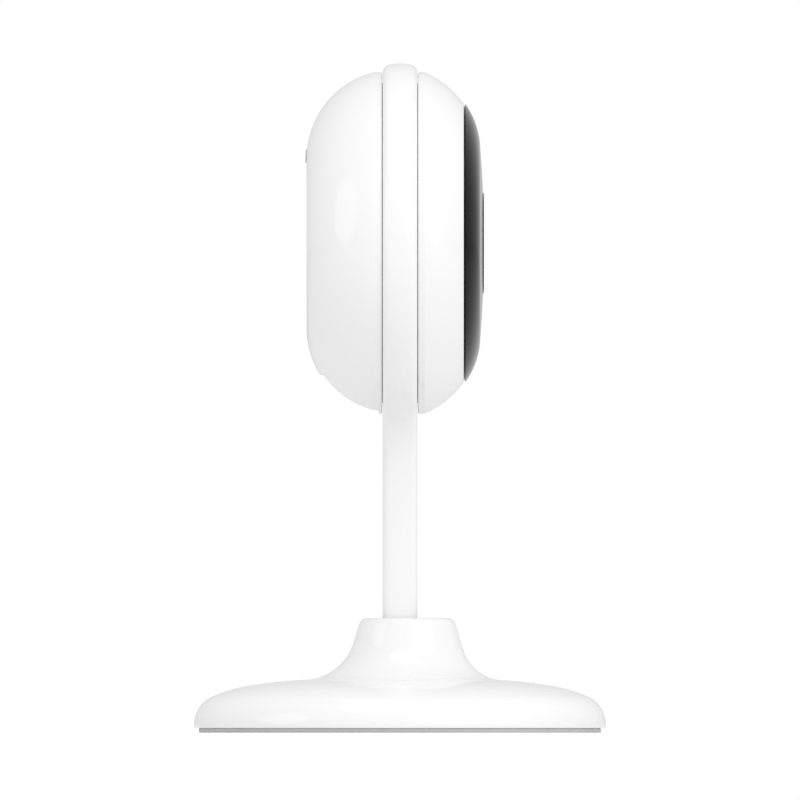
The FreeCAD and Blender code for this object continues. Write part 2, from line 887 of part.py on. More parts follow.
def front_shell():
    """The front half of the head's case."""
    small = size.edge_round
    outer = head_turned(
        corner(0, 0),
        corner(0, size.groove_floor),
        corner(size.band_depth - size.band_seat_half, size.groove_floor),
        corner(size.band_depth - size.band_seat_half, size.band_seat),
        corner(size.band_depth + size.band_seat_half, size.band_seat),
        corner(size.band_depth + size.band_seat_half, size.groove_floor),
        corner(size.groove_half, size.groove_floor),
        corner(size.groove_half, size.girdle_radius - small),
        corner(size.groove_half + small, size.girdle_radius, -small),
        corner(size.front_girdle, size.girdle_radius),
        corner(size.seam_depth, size.seam_radius, -size.front_turn),
        corner(size.seam_depth, 0),
    )
    wall = size.shell_wall
    inner_radius = size.groove_floor - wall
    seat_back = size.seam_depth - size.seat_thick
    cavity = head_turned(
        corner(-size.overrun, 0),
        corner(-size.overrun, inner_radius),
        corner(size.groove_half + wall, inner_radius),
        corner(size.groove_half + wall, size.girdle_radius - wall - size.front_ease),
        corner(seat_back, size.seat_rim, -(size.front_turn - wall)),
        corner(seat_back, size.seat_bore + size.shelf_thick),
        corner(size.shelf_front - size.shelf_thick, size.seat_bore + size.shelf_thick),
        corner(size.shelf_front - size.shelf_thick, size.shelf_bore),
        corner(size.shelf_front, size.shelf_bore),
        corner(size.shelf_front, size.seat_bore),
        corner(size.seam_depth + size.overrun, size.seat_bore),
        corner(size.seam_depth + size.overrun, 0),
    )
    shell = cut(outer, cavity)
    posts = [
        head_rod(size.head_post_radius, (size.head_post_split, seat_back + size.post_overlap), x, z)
        for x, z in closing_places()
    ]
    sink = (size.seam_depth - size.screw_sink, size.seam_depth + size.overrun)
    sinks = [
        head_rod(size.screw_head_radius + size.sink_gap, sink, x, z) for x, z in closing_places()
    ]
    holes = [
        head_rod(size.screw_clearance, (0, size.seam_depth), x, z) for x, z in closing_places()
    ]
    keep(cut(join(shell, *posts), *sinks, *holes), "front_shell", HEAD)


def pill(half_length, half_height, depth, rise):
    """A bar with round ends, lying along X, between two depths."""
    half = dim(half_length) - half_height
    middle = head_block((-half, half), depth, (dim(rise) - half_height, dim(rise) + half_height))
    ends = [head_rod(half_height, depth, x, rise) for x in (half, -half)]
    return join(middle, *ends)


def rear_shell():
    """The rear half of the head's case, with the grille, the button slot and the inlet notch."""
    small = size.edge_round
    wall = size.shell_wall
    outer = head_turned(
        corner(0, 0),
        corner(0, size.groove_floor),
        corner(-size.groove_half, size.groove_floor),
        corner(-size.groove_half, size.girdle_radius - small),
        corner(-size.groove_half - small, size.girdle_radius, small),
        corner(-size.rear_girdle, size.girdle_radius),
        corner(-size.rear_depth, size.rear_turn_centre, size.rear_turn),
        corner(-size.rear_depth, 0),
    )
    inner_radius = size.groove_floor - wall
    cavity = head_turned(
        corner(size.overrun, 0),
        corner(size.overrun, inner_radius),
        corner(-size.groove_half - wall, inner_radius),
        corner(-size.groove_half - wall, size.girdle_radius - wall - size.rear_ease),
        corner(wall - size.rear_depth, size.rear_turn_centre, size.rear_turn - wall),
        corner(wall - size.rear_depth, 0),
    )
    inside = size.notch_ceiling - size.notch_wall
    housing = head_block(
        (-size.notch_half_width - size.notch_wall, size.notch_half_width + size.notch_wall),
        (-size.rear_depth, size.notch_wall - size.notch_front),
        (-size.girdle_radius, -inside),
    )
    shell = cut(outer, cut(cavity, housing))

    posts = [
        head_rod(size.head_post_radius, (-size.head_post_root, size.head_post_split), x, z)
        for x, z in closing_places()
    ]
    reach = (size.post_overlap - size.rear_depth, -size.main_board_back)
    stand_offs = [head_rod(size.stand_off_radius, reach, x, z) for x, z in board_places()]
    middle_depth = -(size.main_board_back + size.inlet_thick / 2)
    half_inlet = size.inlet_thick / 2 + size.inlet_gap
    notch = head_block(
        (-size.notch_half_width, size.notch_half_width),
        (-size.rear_depth, -size.notch_front),
        (-size.girdle_radius - size.overrun, -size.notch_ceiling),
    )
    inlet = head_block(
        (-size.inlet_half_width - size.inlet_gap, size.inlet_half_width + size.inlet_gap),
        (middle_depth - half_inlet, middle_depth + half_inlet),
        (-size.notch_ceiling - size.overrun, size.overrun - inside),
    )
    gap = size.button_gap
    through = (-size.rear_depth - size.overrun, wall - size.rear_depth + size.overrun)
    slot = pill(
        size.button_half_length + gap, size.button_half_height + gap, through, size.button_rise,
    )
    grille = [head_rod(size.grille_hole, through)]
    for ring in (1, 2, 3):
        spread = size.grille_pitch * ring
        for x, z in around(6 * ring, 90):
            grille.append(head_rod(size.grille_hole, through, x * spread, z * spread))
    post_pilot = (-size.head_screw_tip - size.screw_short, size.head_post_split)
    board_pilot = (-size.board_screw_tip - size.screw_short, -size.main_board_back)
    pilots = [head_rod(size.screw_pilot, post_pilot, x, z) for x, z in closing_places()]
    pilots += [head_rod(size.screw_pilot, board_pilot, x, z) for x, z in board_places()]
    solid = join(shell, *posts, *stand_offs)
    keep(cut(solid, notch, inlet, slot, *grille, *pilots), "rear_shell", HEAD)


def head_screw(x, z, depth):
    """A cross-head screw driven from the front, between the depths of its tip and seat."""
    tip, seat = dim(depth[0]), dim(depth[1])
    face = seat + size.screw_head_thick
    shaft = head_rod(size.screw_radius, (tip, seat), x, z)
    top = head_rod(size.screw_head_radius, (seat, face), x, z)
    wide, thin = size.drive_half, size.drive_thin
    x, z = dim(x), dim(z)
    recess = (face - size.drive_depth, face)
    across = head_block((x - wide, x + wide), recess, (z - thin, z + thin))
    along = head_block((x - thin, x + thin), recess, (z - wide, z + wide))
    return cut(join(shaft, top), across, along)


def head_fasteners():
    """The screws that close the head and hold its board, and the friction band."""
    seat = size.seam_depth - size.screw_sink
    closing = [head_screw(x, z, (-size.head_screw_tip, seat)) for x, z in closing_places()]
    keep(group(*closing), "head_screws", HEAD)
    depth = (-size.board_screw_tip, -size.main_board_front)
    board = [head_screw(x, z, depth) for x, z in board_places()]
    keep(group(*board), "board_screws", HEAD)
    band = document.addObject("Part::Torus", "Band")
    bind(band, "Radius1", size.band_seat + size.band_radius)
    bind(band, "Radius2", size.band_radius)
    settle(band, 0, -size.band_depth, 0, FreeCAD.Rotation(V(1, 0, 0), 90))
    keep(band, "friction_band", HEAD)


# Front cover and optics

def front_cover():
    """The dark domed cover, with openings for the window, the light pipe and the microphone."""
    tape_seat = size.seam_depth + size.tape_thick
    outer = head_turned(
        corner(size.seam_depth, size.seam_radius),
        corner(size.cover_brow_depth, size.cover_brow_radius, -size.cover_turn),
        corner(size.cover_tip, 0, -size.cover_dome),
        corner(size.cover_inside, 0),
        corner(size.cover_inside, size.cover_rib),
        corner(tape_seat, size.cover_rib),
        corner(tape_seat, size.seam_radius - size.cover_skirt),
        corner(size.seam_depth, size.seam_radius - size.cover_skirt),
    )
    window = head_rod(size.window_radius, (size.window_seat, size.cover_tip + size.overrun))
    through = (size.cover_inside - size.overrun, size.cover_tip + size.overrun)
    ledge = head_rod(size.window_ledge, through)
    pipe = head_rod(size.pipe_radius + size.pipe_gap, through, 0, size.window_part_circle)
    sound = head_rod(size.sound_hole, through, 0, -size.window_part_circle)
    keep(cut(outer, window, ledge, pipe, sound), "front_cover", HEAD)

    tape_edge = size.seam_radius - size.cover_skirt - size.tape_gap
    tape = head_rod(tape_edge, (size.seam_depth, tape_seat))
    through = (size.seam_depth - size.overrun, tape_seat + size.overrun)
    hole = head_rod(size.seat_bore + size.cover_skirt, through)
    relief = [
        head_rod(size.screw_head_radius + size.sink_gap * 2, through, x, z)
        for x, z in closing_places()
    ]
    keep(cut(tape, hole, *relief), "cover_tape", HEAD)

    small = size.edge_round
    edge = size.window_radius - size.glass_gap
    window_glass = head_turned(
        corner(size.window_seat, 0),
        corner(size.window_seat, edge),
        corner(size.window_front - small, edge),
        corner(size.window_front, edge - small, small),
        corner(size.window_front, 0),
    )
    keep(window_glass, "lens_window", HEAD)


def lens_parts():
    """The lens barrel with its glasses, the shroud round it and its threaded holder."""
    barrel = head_turned(
        corner(size.barrel_back, size.barrel_rear_bore),
        corner(size.barrel_back, size.barrel_radius),
        corner(size.barrel_head_back, size.barrel_radius),
        corner(size.barrel_head_back, size.barrel_head_radius),
        corner(size.barrel_front - size.barrel_chamfer, size.barrel_head_radius),
        corner(size.barrel_front, size.barrel_head_radius - size.barrel_chamfer),
        corner(size.barrel_front, size.barrel_mouth),
        corner(size.barrel_front - size.barrel_mouth_depth, size.barrel_bore),
        corner(size.barrel_seat, size.barrel_bore),
        corner(size.barrel_seat, size.barrel_rear_bore),
    )
    keep(barrel, "lens_barrel", HEAD)

    glass = size.barrel_bore - size.glass_gap
    lenses = []
    for back, tip in (
        (size.glass_front - size.glass_thick, size.glass_front),
        (size.glass_middle - size.glass_thick, size.glass_middle),
        (size.barrel_seat, size.glass_rear),
    ):
        lenses.append(head_turned(
            corner(back, 0),
            corner(back, glass),
            corner(tip - size.glass_rise, glass),
            dome(tip, size.glass_rise, glass),
        ))
    keep(group(*lenses), "lens_glasses", HEAD)

    sleeve = head_rod(size.shroud_outside, (size.shroud_back, size.cover_inside))
    through = (size.shroud_back - size.overrun, size.cover_inside + size.overrun)
    hollow = head_rod(size.shroud_inside, through)
    keep(cut(sleeve, hollow), "light_shroud", HEAD)

    length, height = size.case_half_length, size.case_half_height
    flange = head_block((-length, length), (size.case_front, size.holder_flange), (-height, height))
    tube = head_rod(size.holder_tube, (size.case_front, size.holder_front))
    bore = head_rod(size.holder_bore, (size.barrel_back, size.holder_front + size.overrun))
    through = (size.case_front - size.overrun, size.holder_flange + size.overrun)
    light = head_rod(size.light_hole, through)
    keep(cut(join(flange, tube), bore, light), "lens_holder", HEAD)


def filter_parts():
    """The case behind the lens, the sliding two-pane filter in it and the coil that moves it."""
    length, height = size.case_half_length, size.case_half_height
    case = head_block((-length, length), (-size.case_back, size.case_front), (-height, height))
    slot_length, slot_height = size.case_slot_half_length, size.case_slot_half_height
    slot = head_block(
        (-slot_length, slot_length), (-size.case_slot_back, size.case_front + size.overrun),
        (-slot_height, slot_height),
    )
    behind = -size.case_back - size.overrun
    light = head_rod(size.light_hole, (behind, size.case_front))
    gap = size.sensor_gap
    pocket_wide, pocket_high = size.sensor_half_width + gap, size.sensor_half_height + gap
    sensor_room = head_block(
        (-pocket_wide, pocket_wide), (behind, gap - size.sensor_front), (-pocket_high, pocket_high),
    )
    keep(cut(case, slot, light, sensor_room), "filter_case", HEAD)

    depth = (-size.filter_back, size.filter_front)
    pane = size.filter_half_pane
    reach = size.filter_travel / 2
    rail = pane + size.filter_rail
    high = size.filter_half_height
    frame = head_block((-size.filter_travel - rail, rail), depth, (-high, high))
    panes = [
        head_block((centre - pane, centre + pane), depth, (-pane, pane))
        for centre in (dim(0), -size.filter_travel)
    ]
    keep(cut(frame, *panes), "filter_frame", HEAD)
    thin = (size.pane_inset - size.filter_back, size.filter_front - size.pane_inset)
    glasses = [
        head_block((centre - pane, centre + pane), thin, (-pane, pane))
        for centre in (dim(0), -size.filter_travel)
    ]
    keep(group(*glasses), "filter_panes", HEAD)

    middle = -(height + size.coil_radius + size.coil_gap)
    coil = cross_rod(size.coil_radius, (-reach, reach), size.coil_depth, middle)
    cheeks = [
        block(
            sorted((side * reach, side * (reach + size.coil_cheek)), key=number),
            (size.coil_depth - size.coil_radius, size.coil_depth + size.coil_radius),
            (middle - size.coil_radius, -height),
        )
        for side in (1, -1)
    ]
    keep(join(coil, *cheeks), "filter_coil", HEAD)


# Electronics

def boards():
    """The printed boards, the connector between them and the flat cable."""
    half = size.sensor_board_half
    sensor_board = head_block((-half, half), (-size.sensor_board_back, -size.case_back), (-half, half))
    keep(sensor_board, "sensor_board", HEAD)
    wide, high = size.sensor_half_width, size.sensor_half_height
    sensor = head_block((-wide, wide), (-size.case_back, -size.sensor_front), (-high, high))
    keep(sensor, "image_sensor", HEAD)

    depth = (-size.main_board_back, -size.main_board_front)
    disc = head_rod(size.main_board_radius, depth)
    tongue = head_block(
        (-size.board_tongue_half, size.board_tongue_half), depth,
        (-size.board_tongue, -size.main_board_radius / 2),
    )
    through = (-size.main_board_back - size.overrun, size.overrun - size.main_board_front)
    relief = [
        head_rod(size.head_post_radius + size.board_relief, through, x, z)
        for x, z in closing_places()
    ]
    screw_holes = [head_rod(size.screw_clearance, through, x, z) for x, z in board_places()]
    keep(cut(join(disc, tongue), *relief, *screw_holes), "main_board", HEAD)
    bridge = head_block(
        (-size.connector_half, size.connector_half),
        (-size.main_board_front, -size.sensor_board_back),
        (-size.connector_low, -size.connector_high),
    )
    keep(bridge, "board_connector", HEAD)

    front, back = size.led_board_front, size.shelf_front
    ring = head_rod(size.led_board_radius, (back, front))
    hole = head_rod(size.led_board_bore, (back - size.overrun, front + size.overrun))
    keep(cut(ring, hole), "led_board", HEAD)
    leds = []
    for x, z in head_posts(8, 22.5, size.led_circle):
        body = head_block(
            (x - size.led_half, x + size.led_half), (front, size.led_case_top),
            (z - size.led_half, z + size.led_half),
        )
        lens = head_rod(size.led_lens_radius, (size.led_case_top, size.led_top), x, z)
        leds.append(join(body, lens))
    keep(group(*leds), "infrared_leds", HEAD)
    cable = head_block(
        (size.cable_side, size.cable_side + size.cable_thick),
        (-size.main_board_front, back),
        (-size.cable_half, size.cable_half),
    )
    keep(cable, "led_cable", HEAD)


def front_sensors():
    """What sits on the front board: light sensor, status lamp, light pipe and microphone."""
    front = size.led_board_front
    circle = size.window_part_circle
    chip, chip_top = size.light_chip_half, front + size.light_chip_thick
    sensor = head_block((-circle - chip, chip - circle), (front, chip_top), (-chip, chip))
    keep(sensor, "light_sensor", HEAD)
    lamp = head_block(
        (-size.lamp_half_length, size.lamp_half_length),
        (front, front + size.lamp_thick),
        (circle - size.lamp_half_width, circle + size.lamp_half_width),
    )
    keep(lamp, "status_led", HEAD)
    pipe = join(
        head_rod(size.pipe_radius, (chip_top, size.pipe_front), 0, circle),
        head_rod(size.pipe_collar, (chip_top, size.cover_inside), 0, circle),
    )
    keep(pipe, "light_pipe", HEAD)
    capsule = head_rod(size.capsule_radius, (front, size.capsule_front), 0, -circle)
    keep(capsule, "microphone", HEAD)
    boot = head_rod(size.capsule_radius, (size.capsule_front, size.cover_inside), 0, -circle)
    through = (size.capsule_front - size.overrun, size.cover_inside + size.overrun)
    sound = head_rod(size.sound_hole, through, 0, -circle)
    keep(cut(boot, sound), "microphone_boot", HEAD)


def board_parts():
    """The chips, the shield, the antenna, the heat path and the power inlet."""
    back = size.main_board_back
    face = -back
    for half, thick, label in (
        (size.processor_half, size.processor_thick, "processor"),
        (size.thermal_half, size.thermal_thick, "thermal_pad"),
        (size.spreader_half, size.spreader_thick, "heat_spreader"),
    ):
        keep(head_block((-half, half), (face - thick, face), (-half, half)), label, HEAD)
        face = face - thick
    front = -size.main_board_front
    shield = head_block(
        (-size.shield_half, size.shield_half), (front, front + size.shield_thick),
        (size.shield_low, size.shield_high),
    )
    keep(shield, "wireless_shield", HEAD)
    antenna = head_block(
        (-size.antenna_side, size.antenna_thick - size.antenna_side),
        (front, front + size.antenna_depth), (-size.antenna_low, size.antenna_high),
    )
    keep(antenna, "wireless_antenna", HEAD)
    wide = size.inlet_half_width
    low = size.inlet_recess - size.notch_ceiling
    depth = (-back - size.inlet_thick, -back)
    case = head_block((-wide, wide), depth, (low, low + size.inlet_length))
    thin = size.inlet_sheet
    top = low + size.inlet_length - thin
    room = head_block(
        (thin - wide, wide - thin), (depth[0] + thin, depth[1] - thin), (low - size.overrun, top),
    )
    tongue = head_block(
        (-size.inlet_tongue_half, size.inlet_tongue_half),
        (depth[0] + size.inlet_tongue_low, depth[0] + size.inlet_tongue_high),
        (low + size.inlet_tongue_recess, top),
    )
    keep(join(cut(case, room), tongue), "power_inlet", HEAD)


def speaker_parts():
    """The loudspeaker behind the rear grille: frame, cone, magnet and gasket."""
    radius, front, back = size.speaker_radius, size.speaker_front, size.speaker_back
    magnet_face = -back - size.magnet_thick
    basket_face = -back - size.basket_front
    frame = head_turned(
        corner(-front, size.gasket_bore),
        corner(-front, radius),
        corner(size.speaker_flange - front, radius),
        corner(magnet_face, size.basket_radius),
        corner(magnet_face, size.basket_bore),
        corner(basket_face, size.basket_bore),
        corner(basket_face, size.basket_inside),
        corner(size.speaker_flange_inside - front, size.gasket_bore),
    )
    keep(frame, "speaker_frame", HEAD)
    brim, cap = size.gasket_bore - size.cone_gap, size.cone_cap
    fold = brim - size.cone_surround
    rest = size.cone_inset - front
    cone = head_turned(
        corner(rest + size.cone_thick, brim),
        corner(rest, brim),
        corner(rest, fold),
        corner(size.cone_depth - front, cap),
        dome(size.cap_inset - front, -(size.cone_depth - size.cap_inset), cap),
        corner(size.cap_inset - front + size.cone_thick, 0),
        corner(size.cone_depth - front + size.cone_thick, cap),
        corner(rest + size.cone_thick, fold),
    )
    keep(cone, "speaker_cone", HEAD)
    keep(head_rod(size.magnet_radius, (magnet_face, -back)), "speaker_magnet", HEAD)
    ring = head_rod(radius, (size.shell_wall - size.rear_depth, -front))
    hole = head_rod(size.gasket_bore, (-size.rear_depth, size.overrun - front))
    keep(cut(ring, hole), "speaker_gasket", HEAD)


def button_parts():
    """The pairing button, the switch on the board behind it and the switch's plunger."""
    rise = size.button_rise
    inside = size.shell_wall - size.rear_depth
    cap = pill(
        size.button_half_length, size.button_half_height,
        (-size.button_end, inside + size.lip_depth), rise,
    )
    lip = pill(
        size.button_half_length + size.button_lip, size.button_half_height + size.button_lip,
        (inside + size.lip_depth, inside + size.lip_depth + size.lip_thick), rise,
    )
    stem = head_rod(size.stem_radius, (inside + size.lip_depth, -size.button_root), 0, rise)
    keep(join(cap, lip, stem), "pair_button", HEAD)

    back = size.main_board_back
    half = size.switch_half_height
    body = head_block(
        (-size.switch_half_length, size.switch_half_length), (-size.switch_end, -back),
        (rise - half, rise + half),
    )
    room = (-size.switch_end - size.overrun, -back - size.switch_floor)
    bore = head_rod(size.plunger_bore, room, 0, rise)
    keep(cut(body, bore), "tact_switch", HEAD)
    plunger = head_rod(size.plunger_radius, (-size.button_root, -back - size.plunger_seat), 0, rise)
    keep(plunger, "switch_plunger", HEAD)


base_cover()
base_fittings()
hinge_parts()
ring_stand()
front_shell()
rear_shell()
head_fasteners()
front_cover()
lens_parts()
filter_parts()
boards()
front_sensors()
board_parts()
speaker_parts()
button_parts()
document.recompute()

for item in document.Objects:
    if "Invalid" in item.State or "Error" in item.State:
        raise RuntimeError(f"{item.Name} did not compute: {item.State}")
    if item.isDerivedFrom("Sketcher::SketchObject") and not item.FullyConstrained:
        print(f"{item.Name} is not fully constrained")
for item in kept:
    if item.Shape.isNull() or not item.Shape.isValid() or not item.Shape.Solids:
        raise RuntimeError(f"{item.Label} has no valid solid")

os.makedirs("parts", exist_ok=True)
for item in kept:
    item.Shape.exportStep(f"parts/{item.Label}.step")
    print(f"{item.Label}: {len(item.Shape.Solids)} solids, {item.Shape.Volume:.1f} mm3")
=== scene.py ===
"""Finished looks of a desk camera: a round head in a ring, on a tilting stem and a weighted foot."""

import json
import logging
import math
from dataclasses import dataclass
from enum import Enum
from typing import Any, Callable, Iterable, Sequence

import bmesh
import bpy
import numpy as np
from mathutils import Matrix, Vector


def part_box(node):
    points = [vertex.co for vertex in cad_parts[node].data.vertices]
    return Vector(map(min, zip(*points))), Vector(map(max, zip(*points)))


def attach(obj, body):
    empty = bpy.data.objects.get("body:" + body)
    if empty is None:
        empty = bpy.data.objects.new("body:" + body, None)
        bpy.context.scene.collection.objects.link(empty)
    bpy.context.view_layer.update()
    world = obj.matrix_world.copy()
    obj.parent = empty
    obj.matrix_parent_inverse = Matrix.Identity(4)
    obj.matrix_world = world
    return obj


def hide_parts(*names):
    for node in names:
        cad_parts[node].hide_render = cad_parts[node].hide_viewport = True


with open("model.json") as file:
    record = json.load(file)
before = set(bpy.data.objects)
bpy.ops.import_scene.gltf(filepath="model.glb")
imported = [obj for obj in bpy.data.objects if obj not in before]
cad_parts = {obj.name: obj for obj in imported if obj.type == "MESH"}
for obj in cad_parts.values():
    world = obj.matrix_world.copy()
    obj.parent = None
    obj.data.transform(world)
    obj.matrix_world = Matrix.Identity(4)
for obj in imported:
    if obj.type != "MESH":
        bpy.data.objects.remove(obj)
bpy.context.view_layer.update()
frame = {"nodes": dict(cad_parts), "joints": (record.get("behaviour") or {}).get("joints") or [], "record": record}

log = logging.getLogger("desk_camera")

MM = 0.001
WELD = 2e-6
SHARP = math.radians(32)

Array = np.ndarray
Grid = tuple[Array, Array]
Lift = Callable[[Array, Array], Array]
Colour = tuple[float, float, float]
Stretch = tuple[float, float, float]


# Numbers read from the frame

def corner_low(node: str) -> Array:
    """Lowest corner of a CAD node, in metres."""
    return np.array(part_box(node)[0])


def corner_high(node: str) -> Array:
    """Highest corner of a CAD node, in metres."""
    return np.array(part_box(node)[1])


def middle(node: str) -> Array:
    """Middle of a CAD node's box, in metres."""
    return (corner_low(node) + corner_high(node)) / 2


def joint_height(name: str) -> float:
    """Height of a hinge's point over the floor, in metres."""
    found = next(joint for joint in frame["joints"] if joint["name"] == name)
    return float(found["pos_m"][2])


HEAD_HEIGHT = joint_height("head_roll")
PIVOT_HEIGHT = joint_height("stand_tilt")


class Turning(Enum):
    """What a profile is turned about."""

    HEAD = "the head's axis, with depth counted towards the front"
    FOOT = "the upright axis of the foot"


# Outlines and surfaces

class Profile:
    """A flat outline grown side by side; it holds points as (along, radius) or (across, up)."""

    def __init__(self, first: float, second: float) -> None:
        """Starts the outline at a point."""
        self._points: list[Array] = [np.array([[first, second]], float)]

    def _end(self) -> Array:
        """Where the outline has got to."""
        return self._points[-1][-1]

    def line(
        self, first: float, second: float, hold: float = 0.06 * MM, steps: int = 1,
    ) -> "Profile":
        """Adds a straight side: start + (end - start) * t.

        Args:
            first: First coordinate of the end.
            second: Second coordinate of the end.
            hold: Distance from both ends of the extra points that keep a flat side flat.
            steps: Number of spans between those points.

        Returns:
            The same profile.
        """
        start, end = self._end(), np.array([first, second], float)
        length = float(np.linalg.norm(end - start))
        near = min(hold / length, 0.25)
        share = np.concatenate([np.linspace(near, 1 - near, steps + 1), [1.0]])
        self._points.append(start + (end - start) * share[:, None])
        return self

    def arc(self, first: float, second: float, radius: float, steps: int = 10) -> "Profile":
        """Adds the shorter arc to a point: centre + radius * (cos a, sin a), with a spaced evenly.

        Args:
            first: First coordinate of the end.
            second: Second coordinate of the end.
            radius: Its size; positive turns left and negative turns right.
            steps: Number of chords.

        Returns:
            The same profile.
        """
        start, end = self._end(), np.array([first, second], float)
        chord = end - start
        length = float(np.linalg.norm(chord))
        left = np.array([-chord[1], chord[0]]) / length
        reach = math.sqrt(max(radius ** 2 - length ** 2 / 4, 0.0))
        centre = (start + end) / 2 + left * math.copysign(reach, radius)
        begin = math.atan2(*(start - centre)[::-1])
        finish = math.atan2(*(end - centre)[::-1])
        sweep = (finish - begin + math.pi) % (2 * math.pi) - math.pi
        angle = begin + sweep * np.linspace(0, 1, steps + 1)[1:]
        self._points.append(centre + abs(radius) * np.stack([np.cos(angle), np.sin(angle)], 1))
        return self

    def points(self) -> Array:
        """All the outline's points, one row each."""
        return np.concatenate(self._points)


def grid_faces(rows: int, columns: int, ring: bool = False, loop: bool = False) -> Array:
    """Quads of a grid whose point (row, column) has the index row * columns + column.

    Args:
        rows: Number of rows.
        columns: Number of columns.
        ring: Whether the last column joins the first.
        loop: Whether the last row joins the first.

    Returns:
        An array of four indices a face.
    """
    row = np.arange(rows if loop else rows - 1)[:, None]
    column = np.arange(columns if ring else columns - 1)[None, :]
    next_row, next_column = (row + 1) % rows, (column + 1) % columns
    quads = [row * columns + column, row * columns + next_column,
             next_row * columns + next_column, next_row * columns + column]
    return np.stack(np.broadcast_arrays(*quads), -1).reshape(-1, 4)


def lathe(profile: Array, about: Turning, segments: int = 192, closed: bool = False) -> Grid:
    """Turns a profile: point (s, a) has radius r(s) at angle a, and lies along(s) down the axis.

    Args:
        profile: Points as (along, radius).
        about: The axis.
        segments: Steps round the axis.
        closed: Whether the profile's last point joins its first.

    Returns:
        The points and the faces.
    """
    angle = np.linspace(0, 2 * math.pi, segments, endpoint=False)
    along, radius = profile[:, :1], profile[:, 1:]
    side, up = radius * np.cos(angle), radius * np.sin(angle)
    along = np.broadcast_to(along, side.shape)
    if about is Turning.HEAD:
        points = np.stack([side, -along, HEAD_HEIGHT + up], -1)
    else:
        points = np.stack([side, up, along], -1)
    return points.reshape(-1, 3), grid_faces(len(profile), segments, ring=True, loop=closed)


def loft(rings: Array, levels: Array, lift: Lift) -> Grid:
    """Carries closed outlines up through levels: point (row, s) is rings(row, s) at its level.

    Args:
        rings: One outline a row, as (across, up) points; a ring of no size closes an end.
        levels: One height a row, or one for every point.
        lift: Turns flat points and their heights into points in space.

    Returns:
        The points and the faces.
    """
    height = np.broadcast_to(levels.reshape(len(rings), -1), rings.shape[:2])
    faces = grid_faces(rings.shape[0], rings.shape[1], ring=True)
    return lift(rings, height).reshape(-1, 3), faces


def bar(outline: Array, first: float, last: float, lift: Lift) -> Grid:
    """A bar with flat ends: the outline at two levels, and its centre again to close each end.

    Args:
        outline: The outline's points, without a repeated end.
        first: The level of one end.
        last: The level of the other end.
        lift: Turns flat points and their heights into points in space.

    Returns:
        The points and the faces.
    """
    growth = np.array([0.0, 1.0, 1.0, 0.0])[:, None, None]
    centre = outline.mean(0)
    return loft(centre + (outline - centre) * growth, np.array([first, first, last, last]), lift)


def circle(count: int) -> Array:
    """Points (cos a, sin a) of a circle of radius 1, with a spaced evenly."""
    angle = np.linspace(0, 2 * math.pi, count, endpoint=False)
    return np.stack([np.cos(angle), np.sin(angle)], 1)


def rounded_box(half_across: float, half_up: float, radius: float, steps: int = 8) -> Array:
    """A rectangle's outline with round corners: four arcs about the corners' centres.

    Args:
        half_across: Half its first side.
        half_up: Half its second side.
        radius: The corners' radius.
        steps: Chords in each corner.

    Returns:
        The outline's points, anticlockwise.
    """
    turn = np.linspace(0, math.pi / 2, steps + 1)
    angle = (turn[None, :] + np.arange(4)[:, None] * math.pi / 2)
    sign_across, sign_up = np.array([1, -1, -1, 1]), np.array([1, 1, -1, -1])
    across = sign_across[:, None] * (half_across - radius) + radius * np.cos(angle)
    up = sign_up[:, None] * (half_up - radius) + radius * np.sin(angle)
    return np.stack([across.ravel(), up.ravel()], 1)


def head_lift(flat: Array, depth: Array) -> Array:
    """Places flat (across, up) points at a depth in the head."""
    return np.stack([flat[..., 0], -depth, HEAD_HEIGHT + flat[..., 1]], -1)


def foot_lift(flat: Array, height: Array) -> Array:
    """Places flat (across, along) points at a height over the floor."""
    return np.stack([flat[..., 0], flat[..., 1], height], -1)


def side_lift(flat: Array, across: Array) -> Array:
    """Places flat (along Y, up) points at a distance along X."""
    return np.stack([across, flat[..., 0], flat[..., 1]], -1)


class Shell:
    """The skins of one piece, gathered before they become a mesh."""

    def __init__(self, *grids: Grid) -> None:
        """Starts with some skins."""
        self._grids = list(grids)

    def add(self, grid: Grid) -> None:
        """Adds one skin."""
        self._grids.append(grid)

    def mesh_object(self, name: str, fill: bool = False) -> bpy.types.Object:
        """Joins the skins, closes seams and poles and turns the faces outwards.

        Args:
            name: The piece's name.
            fill: Whether an open edge is closed with a face.

        Returns:
            The object, in the scene.
        """
        starts = np.cumsum([0] + [len(points) for points, _ in self._grids[:-1]])
        points = np.concatenate([points for points, _ in self._grids])
        faces = np.concatenate([faces + start for (_, faces), start in zip(self._grids, starts)])
        mesh = bpy.data.meshes.new(name)
        mesh.from_pydata(points.tolist(), [], faces.tolist())
        tidy = bmesh.new()
        tidy.from_mesh(mesh)
        bmesh.ops.remove_doubles(tidy, verts=tidy.verts, dist=WELD)
        bmesh.ops.dissolve_degenerate(tidy, edges=tidy.edges, dist=WELD / 4)
        if fill:
            bmesh.ops.holes_fill(tidy, edges=[edge for edge in tidy.edges if edge.is_boundary])
        bmesh.ops.recalc_face_normals(tidy, faces=tidy.faces)
        tidy.to_mesh(mesh)
        tidy.free()
        thing = bpy.data.objects.new(name, mesh)
        bpy.context.scene.collection.objects.link(thing)
        return thing


class Join(Enum):
    """How two solids are put together."""

    CUT = "DIFFERENCE"
    FUSE = "UNION"
    KEEP = "INTERSECT"


